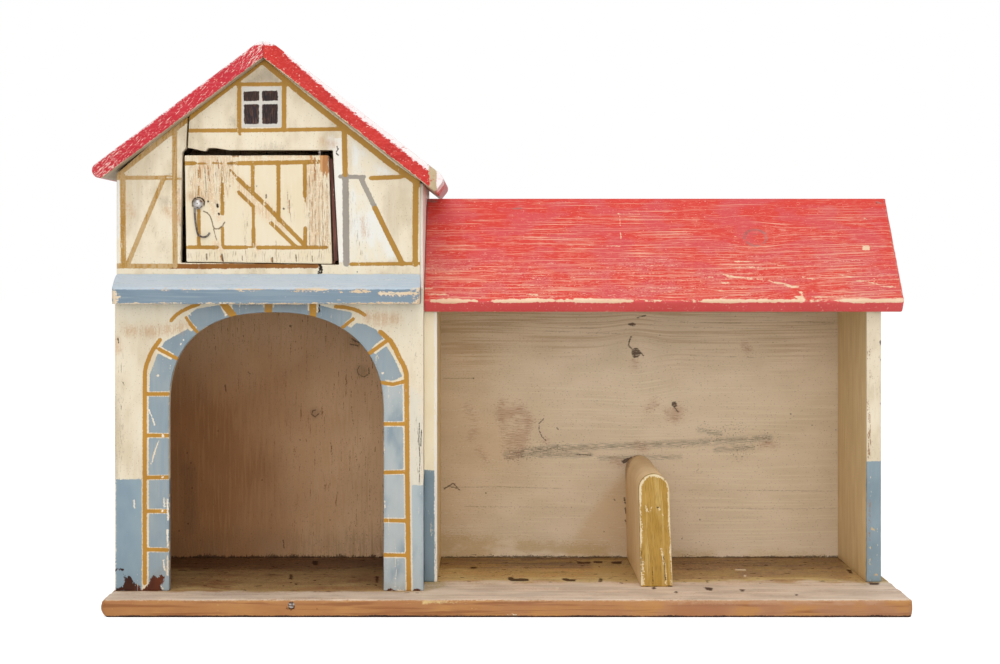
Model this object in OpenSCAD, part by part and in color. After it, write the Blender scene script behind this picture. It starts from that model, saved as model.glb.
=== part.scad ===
// Toy stable: a half-timbered tower with an arched stall and a hay loft behind a hatch,
// beside an open two-stall shed, both nailed onto one baseboard.
// Millimetres. +X runs along the front to the right, +Y to the back, +Z up.
// The origin is the centre of the baseboard's underside.

/* [Baseboard] */
// Length of the baseboard
base_w = 540; // [520:1:620]
// Depth of the baseboard
base_d = 224; // [210:1:260]
// Thickness of the baseboard
base_t = 12; // [9:0.5:18]
// Plan radius of the baseboard's corners
base_corner_r = 8; // [3:0.5:16]
// Height of the rounding on the baseboard's top edges
base_edge_r = 2.5; // [1:0.5:4]
// Place of the nail in the front edge, from the left end
edge_nail_x = 125.7; // [60:0.1:200]

/* [Tower] */
// Outside width over the tower's two side walls
tower_w = 209.6; // [200:0.1:220]
// Set-in of the tower's left wall from the left end of the baseboard
tower_inset = 2.3; // [1:0.1:8]
// Set-back of the front boards from the baseboard's front edge
front_setback = 39; // [30:1:45]
// Set-in of the back walls from the baseboard's rear edge
back_setback = 2; // [0:0.5:5]
// Thickness of the front and back boards
board_t = 10; // [8:0.5:12]
// Thickness of the tower's side walls
side_t = 10.5; // [8:0.5:12]
// Height of the joint between arch board and gable board above the baseboard
storey_h = 206.5; // [200:0.5:212]
// Height of the gable's peak above the baseboard
peak_h = 363.4; // [355:0.1:375]
// Offset of the peak to the left of the tower's centre
peak_shift = 3.1; // [0:0.1:8]
// How far the arch board stands past each side wall
arch_board_over = 0.7; // [0:0.1:2]
// How far the gable board stops short of the left wall's outer face
gable_short_left = 0.6; // [0:0.1:2]
// How far the gable board stops short of the right wall's outer face
gable_short_right = 1.7; // [0:0.1:3]
// Length of the left rake that is planed low at the shoulder
shoulder_run = 22; // [10:1:30]
// Gap between the shoulder of the left rake and the roof
shoulder_gap = 2.6; // [0:0.1:4]
// Thickness of the loft floor
loft_t = 10; // [6:0.5:12]

/* [Arch] */
// Width of the arched opening
arch_w = 146.6; // [120:0.1:155]
// Offset of the arch to the right of the tower's centre
arch_shift = 4.9; // [-5:0.1:8]
// Height of the wood left between the arch's crown and the joint above it
arch_crown_t = 16.1; // [12:0.1:60]
// Rise of the arch from the top of its straight jambs to the crown
arch_rise = 66.4; // [40:0.1:90]
// Fullness of the left haunch, where 2 is an ellipse
arch_full_left = 2.55; // [2:0.05:3]
// Fullness of the right haunch, where 2 is an ellipse
arch_full_right = 2.25; // [2:0.05:3]

/* [Ledge] */
// Height of the ledge against the front
ledge_back_h = 20.6; // [14:0.1:26]
// Height of the ledge's front face
ledge_front_h = 9.2; // [5:0.1:12]
// How far the ledge stands out
ledge_out = 18.3; // [10:0.1:24]
// How far the ledge hangs below the joint of the two front boards
ledge_drop = 10.1; // [5:0.1:12]
// Plan radius of the ledge's front corners
ledge_corner_r = 4; // [1:0.5:8]

/* [Hatch] */
// Distance of the opening's lower left corner from the tower's left face
hatch_x = 44.2; // [38:0.1:50]
// Height of the opening's lower left corner above the board joint
hatch_sill_h = 17.8; // [14:0.1:22]
// Width of the opening along the sill
hatch_w = 108.3; // [95:0.1:112]
// Height of the opening on the left
hatch_h = 77; // [66:0.1:80]
// Fall of the sill from left to right
hatch_sill_fall = 1.4; // [0:0.1:3]
// Lean of the opening's left edge towards the right, over its height
hatch_lean_left = 1.1; // [0:0.1:3]
// Lean of the opening's right edge towards the left, over its height
hatch_lean_right = 4.2; // [0:0.1:5]
// Depth of the two breaks in the opening's top edge
hatch_chip_h = 1.5; // [0.5:0.1:2.5]
// Width of the split above the opening's upper left corner
split_w = 1.25; // [0.6:0.05:2]
// Gap above the door
door_gap_top = 3.6; // [1:0.1:5]
// Gap under the door
door_gap_bottom = 0.6; // [0.4:0.1:2]
// Gap left of the door, at its top
door_gap_left_top = 1.7; // [1:0.1:4]
// Gap left of the door, at its foot
door_gap_left_foot = 4.1; // [1:0.1:5]
// Gap between the door's hinge edge and the opening
door_gap_hinge = 0.7; // [0.6:0.1:1.5]
// Width of the step broken off the door's front along the hinge edge
door_step_w = 2.3; // [1.5:0.1:3.5]
// Depth of that step
door_step_d = 3; // [2:0.1:4]
// How much shorter the wood left in the step is, at each end
door_step_short = 2.2; // [0.5:0.1:4]
// Distance of the pivot nails from the opening's lower right corner
pivot_inset = 13.6; // [12:0.1:16]
// Radius of the pivot nails
pivot_r = 1.1; // [0.8:0.1:1.5]
// Depth that each pivot nail reaches into the door
pivot_reach = 11; // [6:0.5:16]

/* [Latch] */
// Distance of the latch nail from the opening's lower left corner
latch_x = 12.1; // [10:0.1:16]
// Height of the latch nail above the opening's lower left corner
latch_h = 40.1; // [30:0.1:50]
// Radius of the latch nail's domed head
latch_head_r = 3.6; // [3.3:0.1:5]
// Height of the dome
latch_dome_h = 2.2; // [1.5:0.1:3]
// Radius of the latch nail's shank
latch_shank_r = 1.5; // [1:0.1:1.8]
// Radius of the hook's wire
wire_r = 0.65; // [0.5:0.05:0.8]
// Length of the hook's shank below the nail
hook_drop = 19.1; // [14:0.1:22]
// Turn of the slightly bent shank
shank_turn = 14; // [6:1:20]
// Radius of the hook's crook, at the middle of the wire
crook_r = 4.4; // [3.5:0.1:6]
// Turn of the crook
crook_turn = 150; // [110:1:170]
// Turn of the eye, open where it meets the shank
eye_turn = 286; // [250:1:290]
// Lean of the hanging hook
hook_lean = 2; // [0:0.5:4]

/* [Tower roof] */
// Pitch of the left roof board
pitch_left = 36.8; // [34:0.1:40]
// Pitch of the right roof board
pitch_right = 38; // [34:0.1:42]
// Thickness of the left roof board
roof_left_t = 10.5; // [9:0.5:13]
// Thickness of the right roof board
roof_right_t = 12; // [10:0.5:14]
// Height of the worn ridge above the gable's peak
ridge_h = 10.9; // [10.5:0.1:11.2]
// How far the left board's underside runs past the left wall
eave_left = 6; // [3:0.1:16]
// How far the right board's underside runs past the right wall
eave_right = 8.8; // [3:0.1:14]
// Radius of the right board's worn upper corner at the eave
eave_corner_r = 5; // [2:0.5:8]
// Overhang of the tower roof in front
roof_front_over = 12; // [4:0.5:16]
// Overhang of the tower roof behind
roof_back_over = 10; // [4:0.5:16]

/* [Shed] */
// Set-in of the shed's right wall from the right end of the baseboard
shed_inset = 7.1; // [2:0.1:20]
// Thickness of the shed's left wall
shed_left_t = 9.1; // [8:0.1:12]
// Thickness of the shed's right wall
shed_right_t = 10.2; // [8:0.1:12]
// Set-back of the shed's side walls from the baseboard's front edge
shed_setback = 82; // [74:1:90]
// Height of the side walls at their front edge above the baseboard
shed_wall_h = 194.6; // [180:0.1:194.8]
// Pitch of the shed roof
shed_pitch = 43.9; // [40:0.1:46]
// Distance of the ridge behind the side walls' front edge
shed_ridge_back = 63; // [55:1:70]
// Thickness of the shed's roof boards
shed_roof_t = 12; // [9:0.5:14]
// Overhang of the front roof board's underside
shed_eave_front = 5.7; // [2:0.1:12]
// Overhang of the rear roof board's underside behind the back wall
shed_eave_rear = 2; // [1:0.1:6]
// Overhang of the roof past the right wall
shed_verge = 12.1; // [4:0.1:16]
// Gap between the shed roof's left end and the tower's wall
shed_roof_gap = 0.3; // [0.2:0.1:1]

/* [Stall partition] */
// Thickness of the partition
partition_t = 21.2; // [14:0.1:26]
// Height of the partition above the baseboard
partition_h = 78; // [60:1:100]
// Distance of the partition's middle from the shed's left wall, inside
partition_x = 152; // [110:1:190]
// Set-back of the partition from the baseboard's front edge
partition_setback = 58; // [48:1:70]

/* [Nails] */
// Radius of a nail's shank
nail_r = 0.9; // [0.7:0.1:1.1]
// Radius of a nail's flat head
nail_head_r = 2.2; // [1.8:0.1:2.6]
// Thickness of a nail's head
nail_head_t = 0.8; // [0.5:0.1:1.2]
// Length of a nail
nail_len = 27; // [24:0.5:30]
// Depth that the heads are set below the surface
nail_set = 0.2; // [0.1:0.1:0.6]

/* [Hidden] */

$fn = 48;

// Clearances and small allowances
running_fit = 0.08;
driven_fit = 0.02;
hook_play = 0.3;
hole_spare = 0.5;
nail_tip = 2.5;
tip_share = 0.15;
pocket_spare = 10;
bend_gap = 0.1;
bend_share = 1.04;
arch_steps = 18;
round_steps = 10;
pivot_nail_clear = 14.6;

// Places of the nails, as shares of the length that they hold
wall_foot_shares = [0.2, 0.75];
back_foot_shares = [0.3, 0.7];
shed_foot_shares = [0.2, 0.8];
shed_back_foot_shares = [0.2, 0.5, 0.8];
front_shares = [0.18, 0.5, 0.82];
gable_share = 0.6;
ledge_shares = [0.12, 0.5, 0.88];
back_shares = [0.12, 0.4, 0.72];
shed_back_shares = [0.25, 0.75];
loft_shares = [0.25, 0.75];
ridge_share = 0.22;
eave_share = 0.74;
shed_roof_shares = [0.24, 0.57, 0.89];

// Colours
cream = [0.93, 0.88, 0.75];
stain_wood = [0.62, 0.45, 0.29];
bare_wood = [0.74, 0.55, 0.34];
barn_red = [0.82, 0.24, 0.22];
slate_blue = [0.50, 0.60, 0.68];
ochre = [0.74, 0.55, 0.26];
steel = [0.60, 0.61, 0.63];
dark_wire = [0.30, 0.27, 0.26];

// Main planes, left to right
base_left_x = -base_w / 2;
tower_left_x = base_left_x + tower_inset;
tower_right_x = tower_left_x + tower_w;
tower_mid_x = (tower_left_x + tower_right_x) / 2;
tower_in_left_x = tower_left_x + side_t;
tower_in_right_x = tower_right_x - side_t;
left_wall_mid_x = tower_left_x + side_t / 2;
right_wall_mid_x = tower_right_x - side_t / 2;
shed_in_left_x = tower_right_x + shed_left_t;
shed_right_x = base_w / 2 - shed_inset;
shed_w = shed_right_x - tower_right_x;
shed_in_right_x = shed_right_x - shed_right_t;
shed_left_mid_x = tower_right_x + shed_left_t / 2;
shed_right_mid_x = shed_right_x - shed_right_t / 2;
partition_left_x = shed_in_left_x + partition_x - partition_t / 2;
partition_mid_x = shed_in_left_x + partition_x;

// Main planes, front to back
base_front_y = -base_d / 2;
front_y = base_front_y + front_setback;
room_front_y = front_y + board_t;
back_y = base_d / 2 - back_setback;
room_back_y = back_y - board_t;
shed_front_y = base_front_y + shed_setback;
front_mid_y = front_y + board_t / 2;
back_mid_y = back_y - board_t / 2;
partition_front_y = base_front_y + partition_setback;

// Main planes, bottom to top
floor_z = base_t;
storey_z = floor_z + storey_h;
peak_x = tower_mid_x - peak_shift;
peak_z = floor_z + peak_h;
loft_mid_z = storey_z - loft_t / 2;
ledge_bottom_z = storey_z - ledge_drop;
arch_spring_h = storey_h - arch_crown_t - arch_rise;

function roof_left_z(x) = peak_z - (peak_x - x) * tan(pitch_left);
function roof_right_z(x) = peak_z - (x - peak_x) * tan(pitch_right);

// Gable board
gable_left_x = tower_left_x + gable_short_left;
gable_right_x = tower_right_x - gable_short_right;
shoulder_x = gable_left_x + shoulder_run;

// Hatch opening, as corners of the gable board's face
open_left_x = tower_left_x + hatch_x;
open_right_x = open_left_x + hatch_w;
open_sill_z = storey_z + hatch_sill_h;
open_sill_right_z = open_sill_z - hatch_sill_fall;
open_top_z = open_sill_z + hatch_h;
open_top_left_x = open_left_x + hatch_lean_left;
open_top_right_x = open_right_x - hatch_lean_right;
chip_left_end = 0.13;
chip_mid_start = 0.17;
chip_mid_end = 0.31;
chip_slant = 0.05;
open_top_w = open_top_right_x - open_top_left_x;

function open_right_at(z) =
    open_right_x - hatch_lean_right * (z - open_sill_right_z) / (open_top_z - open_sill_right_z);

// Door and its pivots
door_top_z = open_top_z - door_gap_top;
door_left_foot_x = open_left_x + door_gap_left_foot;
door_left_top_x = open_top_left_x + door_gap_left_top;
door_foot_left_z = open_sill_z + door_gap_bottom;
door_foot_right_z = open_sill_right_z + door_gap_bottom;
door_right_foot_x = open_right_at(door_foot_right_z) - door_gap_hinge;
door_right_top_x = open_right_at(door_top_z) - door_gap_hinge;
pivot_x = open_right_x - pivot_inset;
pivot_z_low = storey_z + nail_set;
pivot_sill_z = open_sill_z - hatch_sill_fall * (pivot_x - open_left_x) / hatch_w;
door_foot_at_pivot_z = pivot_sill_z + door_gap_bottom;
pivot_head_r = 2 * pivot_r;
pivot_z_high = roof_right_z(pivot_x + pivot_head_r) - nail_set;
pivot_low_len = door_foot_at_pivot_z + pivot_reach - pivot_z_low;
pivot_high_len = pivot_z_high - door_top_z + pivot_reach;

// Latch nail and hook
latch_nail_x = open_left_x + latch_x;
latch_nail_z = open_sill_z + latch_h;
hook_plane_y = front_y - hook_play - wire_r;
eye_ring_r = latch_shank_r + running_fit + wire_r;
shank_bend_r = hook_drop / sin(shank_turn);
dome_base_y = hook_plane_y - wire_r - hook_play;
dome_r = (latch_head_r * latch_head_r + latch_dome_h * latch_dome_h) / (2 * latch_dome_h);
latch_len = room_front_y - dome_base_y - hole_spare;

// Tower roof
left_slope_len = (peak_x - tower_left_x + eave_left) / cos(pitch_left);
right_slope_len = (tower_right_x + eave_right - peak_x) / cos(pitch_right);
tower_roof_depth = back_y - front_y + roof_front_over + roof_back_over;
left_ridge_r = (roof_left_t / cos(pitch_left) - ridge_h) / (1 / cos(pitch_left) - 1);
right_ridge_r = (roof_right_t / cos(pitch_right) - ridge_h) / (1 / cos(pitch_right) - 1);

// Shed roof
shed_ridge_y = shed_front_y + shed_ridge_back;
shed_peak_z = floor_z + shed_wall_h + shed_ridge_back * tan(shed_pitch);
shed_front_len = (shed_ridge_back + shed_eave_front) / cos(shed_pitch);
shed_rear_len = (back_y + shed_eave_rear - shed_ridge_y) / cos(shed_pitch);
shed_roof_left_x = tower_right_x + shed_roof_gap;
shed_roof_len = shed_right_x + shed_verge - shed_roof_left_x;

function shed_under_z(y) = shed_peak_z - abs(y - shed_ridge_y) * tan(shed_pitch);

// Points on an arc about a centre, from one angle to another
function arc(cx, cz, r, from, to) = [
    for (i = [0 : round_steps])
        let (a = from + (to - from) * i / round_steps)
        [cx + r * cos(a), cz + r * sin(a)]
];

// A superellipse haunch of the arch, from the crown out to the jamb, on one side
function haunch(side, fullness) = [
    for (i = [0 : arch_steps])
        let (a = 90 * i / arch_steps)
        [side * arch_w / 2 * pow(sin(a), 2 / fullness),
            arch_spring_h + arch_rise * pow(cos(a), 2 / fullness)]
];

function reversed(list) = [for (i = [len(list) - 1 : -1 : 0]) list[i]];

// Drawn in the plane across the stable and pushed to the back
module push_back(y, depth) {
    translate([0, y + depth, 0])
        rotate([90, 0, 0])
            linear_extrude(depth)
                children();
}

// Drawn in the plane from front to back and pushed to the right
module push_right(x, width) {
    translate([x, 0, 0])
        rotate([90, 0, 90])
            linear_extrude(width)
                children();
}

// A flat-headed wire nail with its head at the origin, pointing up
module nail(length = nail_len, r = nail_r, head_r = nail_head_r) {
    cylinder(h = nail_head_t, r = head_r);
    cylinder(h = length - nail_tip, r = r);
    translate([0, 0, length - nail_tip])
        cylinder(h = nail_tip, r1 = r, r2 = tip_share * r);
}

// The hole that such a nail makes, with a pocket up to the surface for its head
module nail_hole(length = nail_len, r = nail_r, head_r = nail_head_r) {
    translate([0, 0, -2 * nail_set])
        cylinder(h = nail_head_t + 2 * nail_set + driven_fit, r = head_r + driven_fit);
    cylinder(h = length + hole_spare, r = r + driven_fit);
}

module at_base_nails() {
    room_d = room_back_y - room_front_y;
    shed_d = room_back_y - shed_front_y;
    partition_d = room_back_y - partition_front_y;
    wall_x = [left_wall_mid_x, right_wall_mid_x];
    places = concat(
        [for (x = wall_x, share = wall_foot_shares) [x, room_front_y + share * room_d]],
        [for (share = back_foot_shares) [tower_left_x + share * tower_w, back_mid_y]],
        [for (x = [left_wall_mid_x + side_t, right_wall_mid_x - side_t / 2]) [x, front_mid_y]],
        [[shed_left_mid_x, shed_ridge_y]],
        [for (share = shed_foot_shares) [shed_right_mid_x, shed_front_y + share * shed_d]],
        [for (share = shed_back_foot_shares) [tower_right_x + share * shed_w, back_mid_y]],
        [for (share = shed_foot_shares) [partition_mid_x, partition_front_y + share * partition_d]]
    );
    for (place = places)
        translate([place[0], place[1], nail_set])
            children();
}

module at_base_edge_nail() {
    translate([base_left_x + edge_nail_x, base_front_y + nail_set, base_t - base_edge_r - nail_head_r / 2])
        rotate([-90, 0, 0])
            children();
}

module at_front_nails() {
    heights = concat(
        [for (share = front_shares) floor_z + share * storey_h],
        [open_sill_z, open_sill_z + gable_share * hatch_h]
    );
    for (x = [left_wall_mid_x, right_wall_mid_x], z = heights)
        translate([x, front_y + nail_set, z])
            rotate([-90, 0, 0])
                children();
}

module at_ledge_nails() {
    for (share = ledge_shares)
        translate([gable_left_x + share * (gable_right_x - gable_left_x),
                front_y - ledge_out + nail_set, ledge_bottom_z + ledge_front_h / 2])
            rotate([-90, 0, 0])
                children();
}

module at_back_nails() {
    wall_x = [left_wall_mid_x, right_wall_mid_x];
    shed_x = [shed_left_mid_x, shed_right_mid_x];
    places = concat(
        [for (x = wall_x, share = back_shares) [x, floor_z + share * peak_h]],
        [for (x = shed_x, share = shed_back_shares) [x, floor_z + share * shed_wall_h]],
        [for (share = back_foot_shares) [tower_left_x + share * tower_w, loft_mid_z]]
    );
    for (place = places)
        translate([place[0], back_y - nail_set, place[1]])
            rotate([90, 0, 0])
                children();
}

module at_loft_nails() {
    for (share = loft_shares) {
        y = room_front_y + share * (room_back_y - room_front_y);
        translate([tower_left_x + nail_set, y, loft_mid_z])
            rotate([0, 90, 0])
                children();
        translate([tower_right_x - nail_set, y, loft_mid_z])
            rotate([0, -90, 0])
                children();
    }
}

// On a slope, X runs down the boards' underside from the peak and Z out of the roof
module on_left_slope() {
    translate([peak_x, 0, peak_z])
        mirror([1, 0, 0])
            rotate([0, pitch_left, 0])
                children();
}

module on_right_slope() {
    translate([peak_x, 0, peak_z])
        rotate([0, pitch_right, 0])
            children();
}

// The upper nail of the right board keeps clear of the hatch's pivot nail
module at_tower_roof_nails() {
    pivot_run = (pivot_x - peak_x) / cos(pitch_right);
    for (y = [front_mid_y, back_mid_y]) {
        for (run = [ridge_share * left_slope_len, eave_share * left_slope_len])
            on_left_slope()
                translate([run, y, roof_left_t - nail_set])
                    rotate([180, 0, 0])
                        children();
        for (run = [pivot_run - pivot_nail_clear, eave_share * right_slope_len])
            on_right_slope()
                translate([run, y, roof_right_t - nail_set])
                    rotate([180, 0, 0])
                        children();
    }
}

module at_shed_roof_nails() {
    for (x = [shed_left_mid_x, shed_right_mid_x], share = shed_roof_shares) {
        run = share * shed_ridge_back / cos(shed_pitch);
        translate([x, shed_ridge_y, shed_peak_z])
            rotate([shed_pitch, 0, 0])
                translate([0, -run, shed_roof_t - nail_set])
                    rotate([180, 0, 0])
                        children();
        translate([x, shed_ridge_y, shed_peak_z])
            rotate([-shed_pitch, 0, 0])
                translate([0, run, shed_roof_t - nail_set])
                    rotate([180, 0, 0])
                        children();
    }
}

module at_pivot_bottom() {
    translate([pivot_x, front_mid_y, pivot_z_low])
        children();
}

module at_pivot_top() {
    translate([pivot_x, front_mid_y, pivot_z_high])
        rotate([180, 0, 0])
            children();
}

module rounded_plan(width, depth, r) {
    square([width - 2 * r, depth], center = true);
    square([width, depth - 2 * r], center = true);
    for (x = [-1, 1], y = [-1, 1])
        translate([x * (width / 2 - r), y * (depth / 2 - r)])
            circle(r);
}

// Cross-section of a board whose two top edges are rounded
module worn_section(width, height, r) {
    translate([-width / 2, 0])
        square([width, height - r]);
    translate([r - width / 2, 0])
        square([width - 2 * r, height]);
    for (x = [-1, 1])
        translate([x * (width / 2 - r), height - r])
            circle(r);
}

module baseboard() {
    color(bare_wood)
        difference() {
            intersection() {
                linear_extrude(base_t)
                    rounded_plan(base_w, base_d, base_corner_r);
                push_right(-base_w / 2, base_w)
                    worn_section(base_d, base_t, base_edge_r);
                push_back(-base_d / 2, base_d)
                    worn_section(base_w, base_t, base_edge_r);
            }
            at_base_nails()
                nail_hole();
            at_base_edge_nail()
                nail_hole();
        }
}

module arch_opening() {
    translate([tower_mid_x + arch_shift, floor_z])
        polygon(concat(
            [[arch_w / 2, -1]],
            reversed(haunch(1, arch_full_right)),
            haunch(-1, arch_full_left),
            [[-arch_w / 2, -1]]
        ));
}

module arch_board() {
    color(cream)
        difference() {
            push_back(front_y, board_t)
                difference() {
                    translate([tower_left_x - arch_board_over, floor_z])
                        square([tower_w + 2 * arch_board_over, storey_h]);
                    arch_opening();
                }
            at_base_nails()
                nail_hole();
            at_front_nails()
                nail_hole();
            at_ledge_nails()
                nail_hole();
        }
}

module gable_outline() {
    polygon([
        [gable_left_x, storey_z],
        [gable_right_x, storey_z],
        [gable_right_x, roof_right_z(gable_right_x)],
        [peak_x, peak_z],
        [shoulder_x, roof_left_z(shoulder_x)],
        [gable_left_x, roof_left_z(gable_left_x) - shoulder_gap]
    ]);
}

// The opening's top edge is broken out in two places
module hatch_opening() {
    polygon([
        [open_left_x, open_sill_z],
        [open_right_x, open_sill_right_z],
        [open_top_right_x, open_top_z],
        [open_top_left_x + chip_mid_end * open_top_w, open_top_z],
        [open_top_left_x + (chip_mid_start + chip_slant) * open_top_w, open_top_z + hatch_chip_h],
        [open_top_left_x + chip_mid_start * open_top_w, open_top_z + hatch_chip_h],
        [open_top_left_x + (chip_mid_start - chip_slant / 4) * open_top_w, open_top_z - hatch_chip_h / 2],
        [open_top_left_x + chip_left_end * open_top_w, open_top_z - hatch_chip_h / 4],
        [open_top_left_x + chip_slant * open_top_w, open_top_z + hatch_chip_h],
        [open_top_left_x + 2 * split_w, open_top_z + hatch_chip_h],
        [open_top_left_x, open_top_z - hatch_chip_h]
    ]);
}

// The board has split from the hatch up to the roof
module split() {
    foot_x = open_top_left_x + 2 * split_w;
    head_x = foot_x + split_w;
    polygon([
        [foot_x, open_top_z],
        [foot_x + split_w, open_top_z],
        [head_x + split_w, roof_left_z(head_x) + split_w],
        [head_x, roof_left_z(head_x) + split_w]
    ]);
}

module gable_board() {
    color(cream)
        difference() {
            push_back(front_y, board_t)
                difference() {
                    gable_outline();
                    hatch_opening();
                    split();
                }
            at_front_nails()
                nail_hole();
            at_tower_roof_nails()
                nail_hole();
            at_pivot_bottom()
                nail_hole(pivot_low_len, pivot_r, pivot_head_r);
            at_pivot_top() {
                nail_hole(pivot_high_len, pivot_r, pivot_head_r);
                translate([0, 0, -pocket_spare])
                    cylinder(h = pocket_spare, r = pivot_head_r + driven_fit);
            }
        }
}

module ledge() {
    color(slate_blue)
        difference() {
            intersection() {
                push_right(gable_left_x, gable_right_x - gable_left_x)
                    polygon([
                        [front_y, ledge_bottom_z],
                        [front_y, ledge_bottom_z + ledge_back_h],
                        [front_y - ledge_out, ledge_bottom_z + ledge_front_h],
                        [front_y - ledge_out, ledge_bottom_z]
                    ]);
                translate([(gable_left_x + gable_right_x) / 2, front_y, ledge_bottom_z - 1])
                    linear_extrude(ledge_back_h + 2)
                        rounded_plan(gable_right_x - gable_left_x, 2 * ledge_out, ledge_corner_r);
            }
            at_ledge_nails()
                nail_hole();
        }
}

module tower_left_wall() {
    color(cream)
        difference() {
            push_back(room_front_y, room_back_y - room_front_y)
                polygon([
                    [tower_left_x, floor_z],
                    [tower_in_left_x, floor_z],
                    [tower_in_left_x, roof_left_z(tower_in_left_x)],
                    [tower_left_x, roof_left_z(tower_left_x)]
                ]);
            at_base_nails()
                nail_hole();
            at_front_nails()
                nail_hole();
            at_back_nails()
                nail_hole();
            at_loft_nails()
                nail_hole();
        }
}

module tower_right_wall() {
    color(cream)
        difference() {
            push_back(room_front_y, room_back_y - room_front_y)
                polygon([
                    [tower_in_right_x, floor_z],
                    [tower_right_x, floor_z],
                    [tower_right_x, roof_right_z(tower_right_x)],
                    [tower_in_right_x, roof_right_z(tower_in_right_x)]
                ]);
            at_base_nails()
                nail_hole();
            at_front_nails()
                nail_hole();
            at_back_nails()
                nail_hole();
            at_loft_nails()
                nail_hole();
        }
}

module tower_back_wall() {
    color(stain_wood)
        difference() {
            push_back(room_back_y, board_t)
                polygon([
                    [tower_left_x, floor_z],
                    [tower_right_x, floor_z],
                    [tower_right_x, roof_right_z(tower_right_x)],
                    [peak_x, peak_z],
                    [tower_left_x, roof_left_z(tower_left_x)]
                ]);
            at_base_nails()
                nail_hole();
            at_back_nails()
                nail_hole();
            at_tower_roof_nails()
                nail_hole();
        }
}

module loft_floor() {
    color(stain_wood)
        difference() {
            translate([tower_in_left_x, room_front_y, storey_z - loft_t])
                cube([tower_in_right_x - tower_in_left_x, room_back_y - room_front_y, loft_t]);
            at_back_nails()
                nail_hole();
            at_loft_nails()
                nail_hole();
        }
}

// The ridge is worn round, level with the top of the arc at the seam
module tower_roof_left() {
    ridge_z = peak_z + ridge_h - left_ridge_r;
    nose_r = roof_left_t / 2;
    down = [-cos(pitch_left), -sin(pitch_left)];
    out = [-sin(pitch_left), cos(pitch_left)];
    nose = [peak_x, peak_z] + left_slope_len * down + nose_r * out;
    color(barn_red)
        difference() {
            push_back(front_y - roof_front_over, tower_roof_depth)
                polygon(concat(
                    [[peak_x, peak_z]],
                    arc(peak_x, ridge_z, left_ridge_r, 90, 90 + pitch_left),
                    arc(nose[0], nose[1], nose_r, 90 + pitch_left, 270 + pitch_left)
                ));
            at_tower_roof_nails()
                nail_hole();
        }
}

module tower_roof_right() {
    ridge_z = peak_z + ridge_h - right_ridge_r;
    down = [cos(pitch_right), -sin(pitch_right)];
    out = [sin(pitch_right), cos(pitch_right)];
    eave = [peak_x, peak_z] + right_slope_len * down;
    corner = eave + (roof_right_t - eave_corner_r) * out - eave_corner_r * down;
    color(barn_red)
        difference() {
            push_back(front_y - roof_front_over, tower_roof_depth)
                polygon(concat(
                    [[peak_x, peak_z], eave],
                    arc(corner[0], corner[1], eave_corner_r, -pitch_right, 90 - pitch_right),
                    arc(peak_x, ridge_z, right_ridge_r, 90 - pitch_right, 90)
                ));
            at_tower_roof_nails()
                nail_hole();
        }
}

module shed_side_outline() {
    polygon([
        [shed_front_y, floor_z],
        [room_back_y, floor_z],
        [room_back_y, shed_under_z(room_back_y)],
        [shed_ridge_y, shed_peak_z],
        [shed_front_y, shed_under_z(shed_front_y)]
    ]);
}

module shed_left_wall() {
    color(cream)
        difference() {
            push_right(tower_right_x, shed_left_t)
                shed_side_outline();
            at_base_nails()
                nail_hole();
            at_back_nails()
                nail_hole();
            at_shed_roof_nails()
                nail_hole();
        }
}

module shed_right_wall() {
    color(cream)
        difference() {
            push_right(shed_in_right_x, shed_right_t)
                shed_side_outline();
            at_base_nails()
                nail_hole();
            at_back_nails()
                nail_hole();
            at_shed_roof_nails()
                nail_hole();
        }
}

module shed_back_wall() {
    color(cream)
        difference() {
            push_right(tower_right_x, shed_w)
                polygon([
                    [room_back_y, floor_z],
                    [back_y, floor_z],
                    [back_y, shed_under_z(back_y)],
                    [room_back_y, shed_under_z(room_back_y)]
                ]);
            at_base_nails()
                nail_hole();
            at_back_nails()
                nail_hole();
            at_shed_roof_nails()
                nail_hole();
        }
}

// A shed roof board from the ridge down one side: -1 is the front, 1 the rear
module shed_roof_section(side, length) {
    run = length * cos(shed_pitch);
    drop = length * sin(shed_pitch);
    out = [side * shed_roof_t * sin(shed_pitch), shed_roof_t * cos(shed_pitch)];
    eave = [shed_ridge_y + side * run, shed_peak_z - drop];
    polygon([
        [shed_ridge_y, shed_peak_z],
        eave,
        eave + out,
        [shed_ridge_y, shed_peak_z + shed_roof_t / cos(shed_pitch)]
    ]);
}

module shed_roof_front() {
    color(barn_red)
        difference() {
            push_right(shed_roof_left_x, shed_roof_len)
                shed_roof_section(-1, shed_front_len);
            at_shed_roof_nails()
                nail_hole();
        }
}

module shed_roof_rear() {
    color(barn_red)
        difference() {
            push_right(shed_roof_left_x, shed_roof_len)
                shed_roof_section(1, shed_rear_len);
            at_shed_roof_nails()
                nail_hole();
        }
}

module stall_partition() {
    color(ochre)
        difference() {
            push_back(partition_front_y, room_back_y - partition_front_y) {
                translate([partition_left_x, floor_z])
                    square([partition_t, partition_h - partition_t / 2]);
                translate([partition_mid_x, floor_z + partition_h - partition_t / 2])
                    circle(partition_t / 2);
            }
            at_base_nails()
                nail_hole();
        }
}

module door_outline(trim = 0, short = 0) {
    polygon([
        [door_left_foot_x, door_foot_left_z + short],
        [door_right_foot_x - trim, door_foot_right_z + short],
        [door_right_top_x - trim, door_top_z - short],
        [door_left_top_x, door_top_z - short]
    ]);
}

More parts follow.
